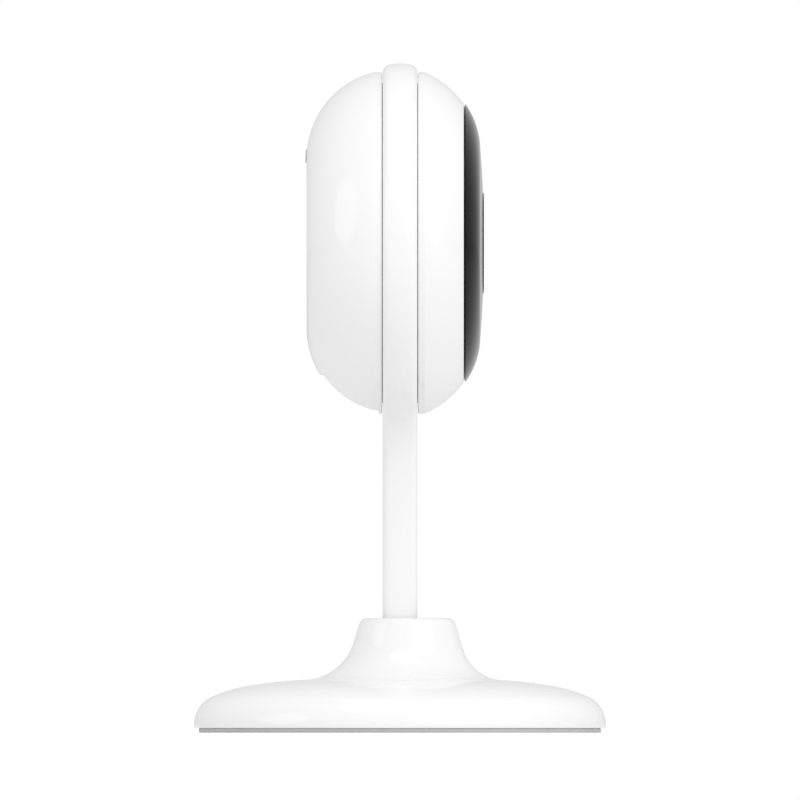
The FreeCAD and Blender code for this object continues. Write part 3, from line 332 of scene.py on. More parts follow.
def combine(
    thing: bpy.types.Object, others: Iterable[bpy.types.Object], how: Join,
) -> bpy.types.Object:
    """Cuts, fuses or intersects a piece with other solids, and removes them.

    Args:
        thing: The piece, which keeps its name.
        others: The solids to use up.
        how: What is done with them.

    Returns:
        The same piece.
    """
    for other in others:
        boolean = thing.modifiers.new("combine", "BOOLEAN")
        boolean.operation = how.value
        boolean.solver = "EXACT"
        boolean.object = other
        graph = bpy.context.evaluated_depsgraph_get()
        result = bpy.data.meshes.new_from_object(thing.evaluated_get(graph))
        thing.modifiers.clear()
        old, thing.data = thing.data, result
        bpy.data.meshes.remove(old)
        bpy.data.meshes.remove(other.data)
    return thing


# Shader maths

class Value:
    """A socket that takes part in Python expressions; each operator adds a Math node."""

    def __init__(self, shader: "Shader", socket: bpy.types.NodeSocket) -> None:
        """Wraps an output socket of a shader."""
        self.shader = shader
        self.socket = socket

    def _math(self, operation: str, first: Any, second: Any) -> "Value":
        """Adds one Math node."""
        return self.shader.node("ShaderNodeMath", {"operation": operation}, {0: first, 1: second})

    def __add__(self, other: Any) -> "Value":
        """The sum."""
        return self._math("ADD", self, other)

    def __radd__(self, other: Any) -> "Value":
        """The sum with a number on the left."""
        return self._math("ADD", other, self)

    def __mul__(self, other: Any) -> "Value":
        """The product."""
        return self._math("MULTIPLY", self, other)

    def __rmul__(self, other: Any) -> "Value":
        """The product with a number on the left."""
        return self._math("MULTIPLY", other, self)


class Shader:
    """A material's node tree, with its Principled shader's own sockets for constants."""

    def __init__(self, name: str) -> None:
        """Starts a material with a Principled shader.

        Args:
            name: The material's name.
        """
        self.material = bpy.data.materials.new(name)
        self.material.use_nodes = True
        self._tree = self.material.node_tree
        self.surface = self._tree.nodes["Principled BSDF"]
        self.place = self.node("ShaderNodeTexCoord", output="Object")

    def node(
        self,
        kind: str,
        settings: dict[str, Any] | None = None,
        sockets: dict[Any, Any] | None = None,
        output: Any = 0,
    ) -> Value:
        """Adds any node.

        Args:
            kind: The node's type name.
            settings: Its properties, and "stops" for a ramp's positions and colours.
            sockets: Values or links of its inputs, by name or index.
            output: Which output is wanted.

        Returns:
            The output, wrapped for expressions.
        """
        made = self._tree.nodes.new(kind)
        for key, value in (settings or {}).items():
            if key == "stops":
                while len(made.color_ramp.elements) < len(value):
                    made.color_ramp.elements.new(0.5)
                for element, (position, colour) in zip(made.color_ramp.elements, value):
                    element.position, element.color = position, colour
            else:
                setattr(made, key, value)
        for key, value in (sockets or {}).items():
            self.feed(made.inputs[key], value)
        return Value(self, made.outputs[output])

    def feed(self, socket: bpy.types.NodeSocket, value: Any) -> None:
        """Links a wrapped socket to an input, or sets the input's constant.

        Args:
            socket: The input.
            value: A wrapped socket, or a constant.
        """
        if isinstance(value, Value):
            self._tree.links.new(value.socket, socket)
        else:
            socket.default_value = value

    def set(self, **values: Any) -> None:
        """Sets the Principled shader's sockets; a name's underscores stand for spaces."""
        for name, value in values.items():
            self.feed(self.surface.inputs[name.replace("_", " ")], value)

    def noise(
        self, scale: float, detail: float = 2.0, roughness: float = 0.5, stretch: Stretch = (1, 1, 1),
    ) -> Value:
        """Noise from 0 to 1 on the piece's own coordinates.

        Args:
            scale: Features a metre.
            detail: Octaves.
            roughness: Weight of the finer octaves.
            stretch: Scale along each axis.

        Returns:
            The noise factor.
        """
        place = {"Vector": self.place, "Scale": stretch}
        where = self.node("ShaderNodeMapping", sockets=place)
        sockets = {"Vector": where, "Scale": scale, "Detail": detail, "Roughness": roughness}
        return self.node("ShaderNodeTexNoise", sockets=sockets, output="Fac")

    def cells(self, scale: float) -> Value:
        """Distance to the nearest of a scatter of points, scale points a metre."""
        sockets = {"Vector": self.place, "Scale": scale}
        return self.node("ShaderNodeTexVoronoi", sockets=sockets, output="Distance")

    def ramp(self, factor: Value, *stops: tuple[float, float]) -> Value:
        """Maps a factor through grey stops, each a position and a level."""
        colours = [(position, (level, level, level, 1.0)) for position, level in stops]
        return self.node("ShaderNodeValToRGB", {"stops": colours}, {"Fac": factor})

    def blend(self, factor: Value, first: Sequence[float], second: Sequence[float]) -> Value:
        """Mixes two colours by a factor."""
        sockets = {0: factor, 6: (*first, 1.0), 7: (*second, 1.0)}
        return self.node("ShaderNodeMix", {"data_type": "RGBA"}, sockets, output=2)

    def relief(self, height: Value, depth: float, strength: float = 1.0) -> None:
        """Feeds a height map, depth metres deep, to the surface's normal."""
        sockets = {"Height": height, "Distance": depth, "Strength": strength}
        self.set(Normal=self.node("ShaderNodeBump", sockets=sockets, output="Normal"))


# Finishes

@dataclass(frozen=True)
class GlossMoulding:
    """Polished moulded plastic: a faint ripple, slow tone changes and fine handling marks."""

    name: str
    colour: Colour
    shade: Colour
    gloss: float = 0.1
    bend: float = 1.5
    ripple: float = 0.0035 * MM
    marks: float = 0.05

    def build(self) -> bpy.types.Material:
        """Makes the material.

        Returns:
            The material.
        """
        shader = Shader(self.name)
        tone = shader.noise(45, 3)
        flow = shader.noise(140, 2, stretch=(1, 1, 0.35))
        haze = shader.ramp(shader.noise(260, 5, 0.65), (0.42, 0.0), (0.75, 1.0))
        scratch = shader.noise(900, 4, 0.7, stretch=(1, 1, 0.08))
        scratch = shader.ramp(scratch, (0.62, 0.0), (0.70, 1.0))
        shader.set(
            Base_Color=shader.blend(tone * 0.6 + flow * 0.4, self.colour, self.shade),
            Roughness=self.gloss + haze * self.marks + scratch * (self.marks * 0.8),
            IOR=self.bend,
        )
        ripple = shader.noise(420, 2) + shader.noise(1600, 1) * 0.25
        shader.relief(ripple, self.ripple, 0.6)
        return shader.material


@dataclass(frozen=True)
class SatinMoulding:
    """Moulded plastic with a spark-eroded grain."""

    name: str
    colour: Colour
    shade: Colour
    roughness: float = 0.48
    grain: float = 0.012 * MM

    def build(self) -> bpy.types.Material:
        """Makes the material.

        Returns:
            The material.
        """
        shader = Shader(self.name)
        tone = shader.noise(120, 3)
        grain = shader.noise(5200, 3, 0.6)
        shader.set(
            Base_Color=shader.blend(tone * 0.5 + grain * 0.5, self.colour, self.shade),
            Roughness=self.roughness + grain * 0.14,
            IOR=1.46,
        )
        shader.relief(grain + shader.cells(3600) * 0.5, self.grain, 0.5)
        return shader.material


@dataclass(frozen=True)
class SoftRubber:
    """Matt rubber or foam, with a pitted skin and a bloom of dust."""

    name: str
    colour: Colour
    shade: Colour
    pits: float = 2400.0
    depth: float = 0.03 * MM

    def build(self) -> bpy.types.Material:
        """Makes the material.

        Returns:
            The material.
        """
        shader = Shader(self.name)
        pits = shader.ramp(shader.cells(self.pits), (0.15, 0.0), (0.45, 1.0))
        bloom = shader.noise(90, 4, 0.6)
        shader.set(
            Base_Color=shader.blend(bloom * 0.7 + pits * 0.3, self.colour, self.shade),
            Roughness=0.72 + bloom * 0.18,
            IOR=1.45,
        )
        shader.relief(pits + shader.noise(3800, 2) * 0.6, self.depth, 0.6)
        return shader.material


@dataclass(frozen=True)
class WorkedMetal:
    """Sheet or turned metal with drawn lines and small tone changes."""

    name: str
    colour: Colour
    shade: Colour
    roughness: float = 0.28
    lines: float = 6000.0
    stretch: Stretch = (1.0, 0.05, 1.0)

    def build(self) -> bpy.types.Material:
        """Makes the material.

        Returns:
            The material.
        """
        shader = Shader(self.name)
        lines = shader.noise(self.lines, 2, 0.6, stretch=self.stretch)
        patch = shader.noise(220, 4, 0.6)
        shader.set(
            Base_Color=shader.blend(patch, self.colour, self.shade),
            Metallic=1.0,
            Roughness=self.roughness + lines * 0.16 + patch * 0.06,
        )
        shader.relief(lines, 0.004 * MM, 0.5)
        return shader.material


@dataclass(frozen=True)
class CoatedGlass:
    """Clear or tinted glass with a faint film of smudges."""

    name: str
    colour: Colour
    reflection: Colour = (1.0, 1.0, 1.0)
    film: float = 0.0
    bend: float = 1.5

    def build(self) -> bpy.types.Material:
        """Makes the material.

        Returns:
            The material.
        """
        shader = Shader(self.name)
        smudge = shader.ramp(shader.noise(330, 5, 0.6), (0.5, 0.0), (0.8, 1.0))
        shader.set(
            Base_Color=(*self.colour, 1.0),
            Roughness=0.012 + smudge * 0.03,
            IOR=self.bend,
            Transmission_Weight=1.0,
            Specular_Tint=(*self.reflection, 1.0),
        )
        if self.film:
            shader.set(Thin_Film_Thickness=self.film, Thin_Film_IOR=1.38)
        return shader.material


@dataclass(frozen=True)
class CircuitBoard:
    """Solder mask over copper tracks, with the tracks' faint relief."""

    name: str
    colour: Colour
    track: Colour

    def build(self) -> bpy.types.Material:
        """Makes the material.

        Returns:
            The material.
        """
        shader = Shader(self.name)
        tracks = shader.node(
            "ShaderNodeTexBrick", {"offset": 0.37, "squash": 1.6},
            {"Vector": shader.place, "Scale": 420.0, "Mortar Size": 0.12, "Mortar Smooth": 0.1},
            output="Fac",
        )
        pads = shader.ramp(shader.cells(520), (0.10, 1.0), (0.14, 0.0))
        mask = tracks * 0.7 + pads * 0.3
        shader.set(
            Base_Color=shader.blend(mask, self.colour, self.track),
            Roughness=0.26 + shader.noise(300, 3) * 0.12,
        )
        shader.relief(mask + shader.noise(2600, 2) * 0.2, 0.02 * MM, 0.5)
        return shader.material


WHITE = GlossMoulding("white_gloss", (0.92, 0.92, 0.917), (0.895, 0.895, 0.893))
BLACK = GlossMoulding("black_gloss", (0.002,) * 3, (0.004,) * 3, gloss=0.07, bend=1.22, marks=0.04)
BUTTON = SatinMoulding("button_grey", (0.62, 0.62, 0.62), (0.55, 0.55, 0.555))
PLATE = SatinMoulding("plate_grey", (0.52, 0.52, 0.52), (0.45, 0.45, 0.455), grain=0.02 * MM)
BLACK_PLASTIC = SatinMoulding("black_plastic", (0.018, 0.018, 0.019), (0.028, 0.028, 0.029), 0.42)
PAD_RUBBER = SoftRubber("pad_rubber", (0.66, 0.66, 0.665), (0.72, 0.72, 0.725))
BLACK_RUBBER = SoftRubber("black_rubber", (0.014, 0.014, 0.014), (0.026, 0.026, 0.026))
TAPE = SoftRubber("tape_black", (0.03, 0.03, 0.03), (0.05, 0.05, 0.05), pits=4200)
THERMAL = SoftRubber("thermal_grey", (0.30, 0.38, 0.47), (0.36, 0.43, 0.50), pits=3000)
STEEL = WorkedMetal("bright_steel", (0.62, 0.62, 0.63), (0.52, 0.52, 0.54))
WEIGHT = WorkedMetal("weight_steel", (0.30, 0.30, 0.31), (0.21, 0.21, 0.22), 0.42, 2500)
MAGNET = WorkedMetal("magnet_steel", (0.66, 0.65, 0.62), (0.56, 0.55, 0.53), 0.22)
COPPER = WorkedMetal("copper_wire", (0.75, 0.36, 0.20), (0.60, 0.27, 0.14), 0.25, 9000, (1.0, 0.02, 0.02))
SHEET = WorkedMetal("aluminium_sheet", (0.80, 0.81, 0.82), (0.70, 0.71, 0.73), 0.3)
CLEAR_GLASS = CoatedGlass("clear_glass", (0.97, 0.98, 1.0), bend=1.22)
COATED_GLASS = CoatedGlass("coated_glass", (0.80, 0.84, 0.95), (0.55, 0.45, 1.0), film=420.0)
FILTER_GLASS = CoatedGlass("filter_glass", (0.62, 0.86, 0.80), (1.0, 0.35, 0.45), film=520.0)
LED_RESIN = GlossMoulding("led_clear", (0.72, 0.74, 0.78), (0.64, 0.66, 0.70), gloss=0.1)
CABLE = SatinMoulding("cable_white", (0.74, 0.74, 0.71), (0.66, 0.66, 0.63), 0.4)
CONE = SatinMoulding("cone_film", (0.05, 0.05, 0.055), (0.075, 0.075, 0.08), 0.35)
GREEN_BOARD = CircuitBoard("board_green", (0.012, 0.10, 0.035), (0.05, 0.24, 0.09))
BLACK_BOARD = CircuitBoard("board_black", (0.008, 0.008, 0.010), (0.03, 0.03, 0.035))
FINISHES = (
    WHITE, BLACK, BUTTON, PLATE, BLACK_PLASTIC, PAD_RUBBER, BLACK_RUBBER, TAPE, THERMAL, STEEL,
    WEIGHT, MAGNET, COPPER, SHEET, CLEAR_GLASS, FILTER_GLASS, LED_RESIN, CABLE, CONE, GREEN_BOARD,
    BLACK_BOARD,
)


class Workshop:
    """Holds the finishes and dresses pieces with them."""

    def __init__(self) -> None:
        """Makes every finish once, by its slot's name; the lenses' coating shares the glass's slot."""
        self.finishes = {finish.name: finish.build() for finish in FINISHES}
        self.coated = COATED_GLASS.build()

    def dress(
        self,
        thing: bpy.types.Object,
        body: str,
        slot: str,
        stands_for: Sequence[str] = (),
        finish: bpy.types.Material | None = None,
    ) -> None:
        """Gives a new piece its finish, its body and the CAD nodes that it stands for.

        Args:
            thing: The piece.
            body: The CAD body that it rides on.
            slot: The record's slot of its finish.
            stands_for: The CAD nodes that it replaces.
            finish: A material of its own, in place of the slot's.
        """
        thing.data.shade_smooth()
        thing.data.set_sharp_from_angle(angle=SHARP)
        thing.data.materials.clear()
        thing.data.materials.append(finish or self.finishes[slot])
        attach(thing, body)
        if stands_for:
            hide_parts(*stands_for)
        log.info("%s: %d faces on %s", thing.name, len(thing.data.polygons), body)

    def dress_frame(self) -> None:
        """Gives every CAD node the finish of its slot."""
        for entry in frame["record"]["subparts"]:
            node = frame["nodes"][entry["node"]]
            material = self.finishes[entry["material_slot"]]
            node.data.materials.clear()
            node.data.materials.append(material)
            log.info("%s keeps its CAD shape in %s", entry["node"], material.name)


# Foot

@dataclass
class Foot:
    """The foot: a low dome whose drafted hub leans forward, and its rubber pad."""

    workshop: Workshop
    floor: float = float(corner_high("base_foot_pad")[2])
    top: float = float(corner_high("base_cover")[2])
    rim_turn: float = 5.35 * MM
    rim_centre: tuple[float, float] = (30.2035 * MM, 1.3779 * MM)
    slope_turn: float = 27.0 * MM
    slope_centre: tuple[float, float] = (21.7196 * MM, -18.5406 * MM)
    crown_turn: float = 80.0 * MM
    crown_centre: tuple[float, float] = (13.121 * MM, -70.8384 * MM)
    hub_radius: float = 8.004 * MM
    hub_offset: float = 1.26 * MM
    hub_draft: float = math.radians(17)
    hub_edge: float = 1.4 * MM
    blend_mean: float = 8.25 * MM
    blend_swing: float = 0.85 * MM
    wall: float = 1.6 * MM
    slot_half: float = 4.5 * MM
    slot_front: float = 6.05 * MM
    slot_rear: float = 4.45 * MM
    slot_corner: float = 1.9 * MM
    slot_lip: float = 0.35 * MM
    pad_edge: float = 0.18 * MM
    pad_groove: tuple[float, float, float] = (22.0 * MM, 23.4 * MM, 0.12 * MM)
    columns: int = 240

    def skin(self, inset: float) -> Array:
        """The cover's skin, moved inwards by inset.

        In each half plane through the upright axis it is a chain of tangent curves: three convex
        arcs, centre + (turn - inset) * n, then a concave arc, centre - (turn + inset) * n, whose
        centre is solved to touch the crown and the drafted wall, then the wall and the top edge.
        The normal n turns steadily along each arc. The wall leans forward with the hub's offset.

        Args:
            inset: Distance inwards from the outer skin.

        Returns:
            Points by row, column and coordinate.
        """
        angle = np.linspace(0, 2 * math.pi, self.columns, endpoint=False)[None, :]
        forward = np.cos(angle)
        across, up = math.cos(self.hub_draft), math.sin(self.hub_draft)
        wall_at = across * (self.hub_radius + self.hub_offset * forward) + up * self.top
        turn = self.blend_mean - self.blend_swing * forward

        # centre of the concave arc: (wall_at + turn - up * z) / across from the axis, and
        # crown_turn + turn from the crown's centre, which is a quadratic in z
        crown_r, crown_z = self.crown_centre
        lean = up / across
        start = (wall_at + turn) / across - crown_r
        square = 1 + lean ** 2
        linear = -2 * (start * lean + crown_z)
        rest = start ** 2 + crown_z ** 2 - (self.crown_turn + turn) ** 2
        centre_z = (-linear + np.sqrt(linear ** 2 - 4 * square * rest)) / (2 * square)
        centre_r = (wall_at + turn - up * centre_z) / across
        touch = np.arctan2(centre_z - crown_z, centre_r - crown_r)

        def convex(
            centre: tuple[float, float], radius: float, first: Array, last: Array, steps: int,
        ) -> tuple[Array, Array]:
            """Radius and height on a convex arc between two directions of the normal.

            Args:
                centre: Radius and height of the arc's centre.
                radius: The arc's radius on the outer skin.
                first: Direction of the normal at its start, one a column.
                last: Direction of the normal at its end.
                steps: Number of points.

            Returns:
                The points' radii and heights.
            """
            share = np.linspace(0, 1, steps)[:, None]
            normal = first + (last - first) * share
            size = radius - inset
            return centre[0] + size * np.cos(normal), centre[1] + size * np.sin(normal)

        begin = math.asin((self.floor - self.rim_centre[1]) / (self.rim_turn - inset))
        slope_r, slope_z = self.slope_centre
        brow = math.atan2(self.rim_centre[1] - slope_z, self.rim_centre[0] - slope_r)
        shoulder = math.atan2(slope_z - crown_z, slope_r - crown_r)
        flat = np.ones_like(angle)
        runs = [
            convex(self.rim_centre, self.rim_turn, begin * flat, brow * flat, 24),
            convex(self.slope_centre, self.slope_turn, brow * flat, shoulder * flat, 12),
            convex(self.crown_centre, self.crown_turn, shoulder * flat, touch, 14),
        ]
        share = np.linspace(0, 1, 26)[:, None]
        normal = touch + (self.hub_draft - touch) * share
        runs.append((
            centre_r - (turn + inset) * np.cos(normal),
            centre_z - (turn + inset) * np.sin(normal),
        ))
        edge = max(self.hub_edge - inset, 0.0)
        edge_z = (self.top - inset - edge) * flat
        edge_r = (wall_at - inset - edge - up * edge_z) / across
        foot_r, foot_z = runs[-1][0][-1:], runs[-1][1][-1:]
        head_r, head_z = edge_r + edge * across, edge_z + edge * up
        climb = np.array([0.03, 0.35, 0.7, 0.97, 1.0])[:, None]
        runs.append((foot_r + (head_r - foot_r) * climb, foot_z + (head_z - foot_z) * climb))
        normal = self.hub_draft + (math.pi / 2 - self.hub_draft) * np.linspace(0, 1, 12)[:, None]
        runs.append((edge_r + edge * np.cos(normal), edge_z + edge * np.sin(normal)))
        radius = np.concatenate([np.broadcast_to(r, (len(r), self.columns)) for r, _ in runs])
        height = np.concatenate([np.broadcast_to(z, (len(z), self.columns)) for _, z in runs])
        around = np.stack([np.sin(angle) * radius, -forward * radius, height], -1)
        centre = np.array([0.0, -self.hub_offset, 0.0])
        rim = around[-1] * [1, 1, 0]
        inward = np.array([0.02, 0.3, 0.6, 0.8, 1.0])[:, None, None]
        lid = rim[None] + (centre - rim)[None] * inward
        lid[..., 2] = self.top - inset
        return np.concatenate([around, lid])

    def slot_cutter(self) -> bpy.types.Object:
        """The stem's slot through the hub's top, flared at its mouth by a quarter round.

        Returns:
            The solid to cut away.
        """
        centre = (self.slot_rear - self.slot_front) / 2
        half = (self.slot_rear + self.slot_front) / 2
        lip = self.slot_lip
        turn = np.linspace(0, math.pi / 2, 7)
        levels = np.concatenate([
            [self.top - 3 * self.wall] * 2,
            self.top - lip * np.cos(turn),
            [self.top + lip] * 2,
        ])
        spread = np.concatenate([[0, 0], lip * (1 - np.sin(math.pi / 2 - turn)), [lip, lip]])
        rings = np.stack([
            rounded_box(self.slot_half + out, half + out, self.slot_corner + out) for out in spread
        ])
        rings[[0, -1]] = 0.0
        return Shell(loft(rings + [0.0, centre], levels, foot_lift)).mesh_object("slot_cutter")

    def cover(self) -> None:
        """The moulded cover: the outer skin, the inner skin back again, and the slot."""
        points = np.concatenate([self.skin(0.0)[::-1], self.skin(self.wall)])
        faces = grid_faces(len(points), self.columns, ring=True)
        cover = Shell((points.reshape(-1, 3), faces)).mesh_object("foot_cover")
        combine(cover, [self.slot_cutter()], Join.CUT)
        self.workshop.dress(cover, "base", "white_gloss", ["base_cover"])

    def pad(self) -> None:
        """The rubber pad: a disc with rounded edges and a shallow ring pressed in its underside."""
        radius = float(corner_high("base_foot_pad")[0])
        small = self.pad_edge
        inner, outer, dip = self.pad_groove
        profile = (
            Profile(0.0, 0.0)
            .line(0.0, inner, steps=6)
            .line(dip, inner + dip, hold=0.02 * MM)
            .line(dip, outer, hold=0.1 * MM)
            .line(0.0, outer + dip, hold=0.02 * MM)
            .line(0.0, radius - small, steps=4)
            .arc(small, radius, -small, 5)
            .line(self.floor - small, radius)
            .arc(self.floor, radius - small, -small, 5)
            .line(self.floor, 0.0, steps=8)
        )
        pad = Shell(lathe(profile.points(), Turning.FOOT, 240)).mesh_object("foot_pad")
        self.workshop.dress(pad, "base", "pad_rubber", ["base_foot_pad"])

    def build(self) -> None:
        """Makes the foot's pieces."""
        self.cover()
        self.pad()


# Ring and stem

@dataclass
class RingStand:
    """The ring and its flat stem, one moulding with rounded edges, and the knuckle below it."""

    workshop: Workshop
    radius: float = 31.0 * MM
    bore: float = 27.9 * MM
    half_width: float = float(corner_high("ring_stand")[1])
    edge: float = 1.45 * MM
    crown: float = 9.0 * MM
    bore_edge: float = 0.25 * MM
    foot_half: float = 4.2 * MM
    neck_half: float = 5.0 * MM
    flare: float = 10.0 * MM
    foot_height: float = PIVOT_HEIGHT + 3.4 * MM
    knuckle_root: float = 0.6 * MM
    knuckle_half: float = 3.1 * MM
    pin_bore: float = 1.28 * MM
    hold: float = 0.08 * MM

    def right_side(self) -> tuple[Array, Array]:
        """The outline's right half from the stem's foot to the top of the ring.

        It is a line that leans out by a small angle, an arc of radius flare about a point that
        is ring radius + flare from the ring's centre, and the ring's circle.

        Returns:
            The points and their outward normals.
        """
        neck_height = HEAD_HEIGHT - self.radius
        for _ in range(8):
            lean = math.atan2(self.neck_half - self.foot_half, neck_height - self.foot_height)
            hollow = self.neck_half + self.flare * math.cos(lean)
            drop = math.sqrt((self.radius + self.flare) ** 2 - hollow ** 2)
            neck_height = HEAD_HEIGHT - drop + self.flare * math.sin(lean)
        hollow_centre = np.array([hollow, HEAD_HEIGHT - drop])
        share = np.linspace(0, 1, 24)[:, None]
        foot = np.array([self.foot_half, self.foot_height])
        neck = np.array([self.neck_half, neck_height])
        line = foot + (neck - foot) * share
        line_normal = np.broadcast_to([math.cos(lean), -math.sin(lean)], line.shape)
        begin, end = math.pi - lean, math.atan2(drop, -hollow)
        turn = (begin + (end - begin) * np.linspace(0, 1, 20)[1:])[:, None]
        inward = np.concatenate([np.cos(turn), np.sin(turn)], 1)
        arc = hollow_centre + self.flare * inward
        start = math.atan2(-drop, hollow)
        sweep = (start + (math.pi / 2 - start) * np.linspace(0, 1, 110)[1:])[:, None]
        outward = np.concatenate([np.cos(sweep), np.sin(sweep)], 1)
        ring = np.array([0.0, HEAD_HEIGHT]) + self.radius * outward
        return np.concatenate([line, arc, ring]), np.concatenate([line_normal, -inward, outward])

    def outline(self) -> tuple[Array, Array]:
        """The whole outline: the right side, then its mirror image back down.

        Returns:
            The points and their outward normals.
        """
        points, normals = self.right_side()
        mirror = np.array([-1.0, 1.0])
        both = np.concatenate([points, points[-2::-1] * mirror])
        return both, np.concatenate([normals, normals[-2::-1] * mirror])

    def rim_profile(self) -> Array:
        """The outer skin's profile, as inset and thickness.

        The rim is crowned: an arc of radius crown between two edge arcs tangent to it, so the
        lean of their common normal has the sine (half width - edge) / (crown - edge).

        Returns:
            The profile's points.
        """
        width, edge = self.half_width, self.edge
        shoulder = (width - edge) * self.crown / (self.crown - edge)
        lean = math.asin(shoulder / self.crown)
        drop = self.crown * (1 - math.cos(lean))
        depth = drop + edge * math.cos(lean)
        return (
            Profile(depth + self.hold, -width)
            .line(depth, -width, hold=0.01 * MM)
            .arc(drop, -shoulder, -edge, 10)
            .arc(0.0, 0.0, -self.crown, 5)
            .arc(drop, shoulder, -self.crown, 5)
            .arc(depth, width, -edge, 10)
            .line(depth + self.hold, width, hold=0.01 * MM)
        ).points()

    def bore_profile(self) -> Array:
        """The bore's profile with its rounded edges, as radius and thickness.

        Returns:
            The profile's points.
        """
        width, edge = self.half_width, self.bore_edge
        return (
            Profile(self.bore + edge + self.hold, -width)
            .line(self.bore + edge, -width, hold=0.01 * MM)
            .arc(self.bore, edge - width, -edge, 5)
            .line(self.bore, width - edge)
            .arc(self.bore + edge, width, -edge, 5)
            .line(self.bore + edge + self.hold, width, hold=0.01 * MM)
        ).points()

    def face_grids(self, rim: Array, on_ring: Array) -> tuple[Array, Array, Array]:
        """The flat face between the inset outline and the bore, as two grids.

        On the ring it is spanned by rays. Below, it is a Coons patch: side(v) blended across
        plus end(u) blended down, less the corners.

        Args:
            rim: The inset outline.
            on_ring: Which of its points lie on the ring.

        Returns:
            The ring's grid, the patch's grid and the rays that meet the bore.
        """
        centre = np.array([0.0, HEAD_HEIGHT])
        ring_rim = rim[on_ring]
        away = ring_rim - centre
        ray = away / np.linalg.norm(away, axis=1)[:, None]
        hold_radius = self.bore + self.bore_edge + self.hold
        share = np.linspace(0, 1, 3)[:, None, None]
        band = ring_rim + (centre + ray * hold_radius - ring_rim) * share

        last = int(np.argmax(on_ring))
        right, left = rim[:last + 1][::-1], rim[::-1][:last + 1][::-1]
        begin = math.atan2(*ray[-1][::-1]) % (2 * math.pi)
        finish = math.atan2(*ray[0][::-1]) % (2 * math.pi)
        low = np.linspace(begin, finish, 41)
        low_ray = np.stack([np.cos(low), np.sin(low)], 1)
        arch = centre + hold_radius * low_ray
        near = np.array([[0.0], [0.5]])
        top = np.concatenate([
            left[:1] + (arch[:1] - left[:1]) * near, arch,
            right[:1] + (arch[-1:] - right[:1]) * near[::-1],
        ])
        u = np.linspace(0, 1, len(top))[None, :, None]
        v = np.linspace(0, 1, len(left))[:, None, None]
        foot = left[-1] + (right[-1] - left[-1]) * u[0]
        sides = left[:, None] * (1 - u) + right[:, None] * u
        ends = top[None] * (1 - v) + foot[None] * v
        corners = ((left[0] * (1 - u) + right[0] * u) * (1 - v)
                   + (left[-1] * (1 - u) + right[-1] * u) * v)
        return band, sides + ends - corners, np.concatenate([ray, low_ray[1:-1]])

    def skin(self) -> Shell:
        """All the stand's skins but its foot's end: the rim, both faces and the bore.

        Returns:
            The skins.
        """
        outline, normals = self.outline()
        profile = self.rim_profile()
        flat = outline - normals * profile[:, :1, None]
        thickness = np.broadcast_to(profile[:, 1:], flat.shape[:2])
        points = np.stack([flat[..., 0], thickness, flat[..., 1]], -1)
        shell = Shell((points.reshape(-1, 3), grid_faces(len(profile), len(outline))))

        on_ring = np.linalg.norm(outline - [0.0, HEAD_HEIGHT], axis=1) < self.radius + WELD
        band, patch, rays = self.face_grids(flat[0], on_ring)
        for depth in (-self.half_width, self.half_width):
            for face in (band, patch):
                points = np.insert(face, 1, depth, axis=-1)
                shell.add((points.reshape(-1, 3), grid_faces(*face.shape[:2])))

        hole = self.bore_profile()
        flat = rays * hole[:, :1, None] + [0.0, HEAD_HEIGHT]
        thickness = np.broadcast_to(hole[:, 1:], flat.shape[:2])
        points = np.stack([flat[..., 0], thickness, flat[..., 1]], -1)
        shell.add((points.reshape(-1, 3), grid_faces(len(hole), len(rays), ring=True)))
        return shell

    def knuckle(self) -> bpy.types.Object:
        """The half-round tongue that the hinge pin passes through.

        Returns:
            The solid to fuse on.
        """
        width, root = self.half_width, self.foot_height + self.knuckle_root
        outline = (
            Profile(width, root)
            .line(-width, root)
            .line(-width, PIVOT_HEIGHT)
            .arc(0.0, PIVOT_HEIGHT - width, width, 12)
            .arc(width, PIVOT_HEIGHT, width, 12)
        ).points()
        tongue = bar(outline, -self.knuckle_half, self.knuckle_half, side_lift)
        return Shell(tongue).mesh_object("knuckle")

    def pin_hole(self) -> bpy.types.Object:
        """A bar to cut the hinge pin's hole.

        Returns:
            The solid to cut away.
        """
        outline = circle(40) * self.pin_bore + [0.0, PIVOT_HEIGHT]
        reach = 2 * self.knuckle_half
        return Shell(bar(outline, -reach, reach, side_lift)).mesh_object("pin_hole")

    def build(self) -> None:
        """Makes the stand."""
        stand = self.skin().mesh_object("ring_and_stem", fill=True)
        combine(stand, [self.knuckle()], Join.FUSE)
        combine(stand, [self.pin_hole()], Join.CUT)
        self.workshop.dress(stand, "stand", "white_gloss", ["ring_stand"])


# Head

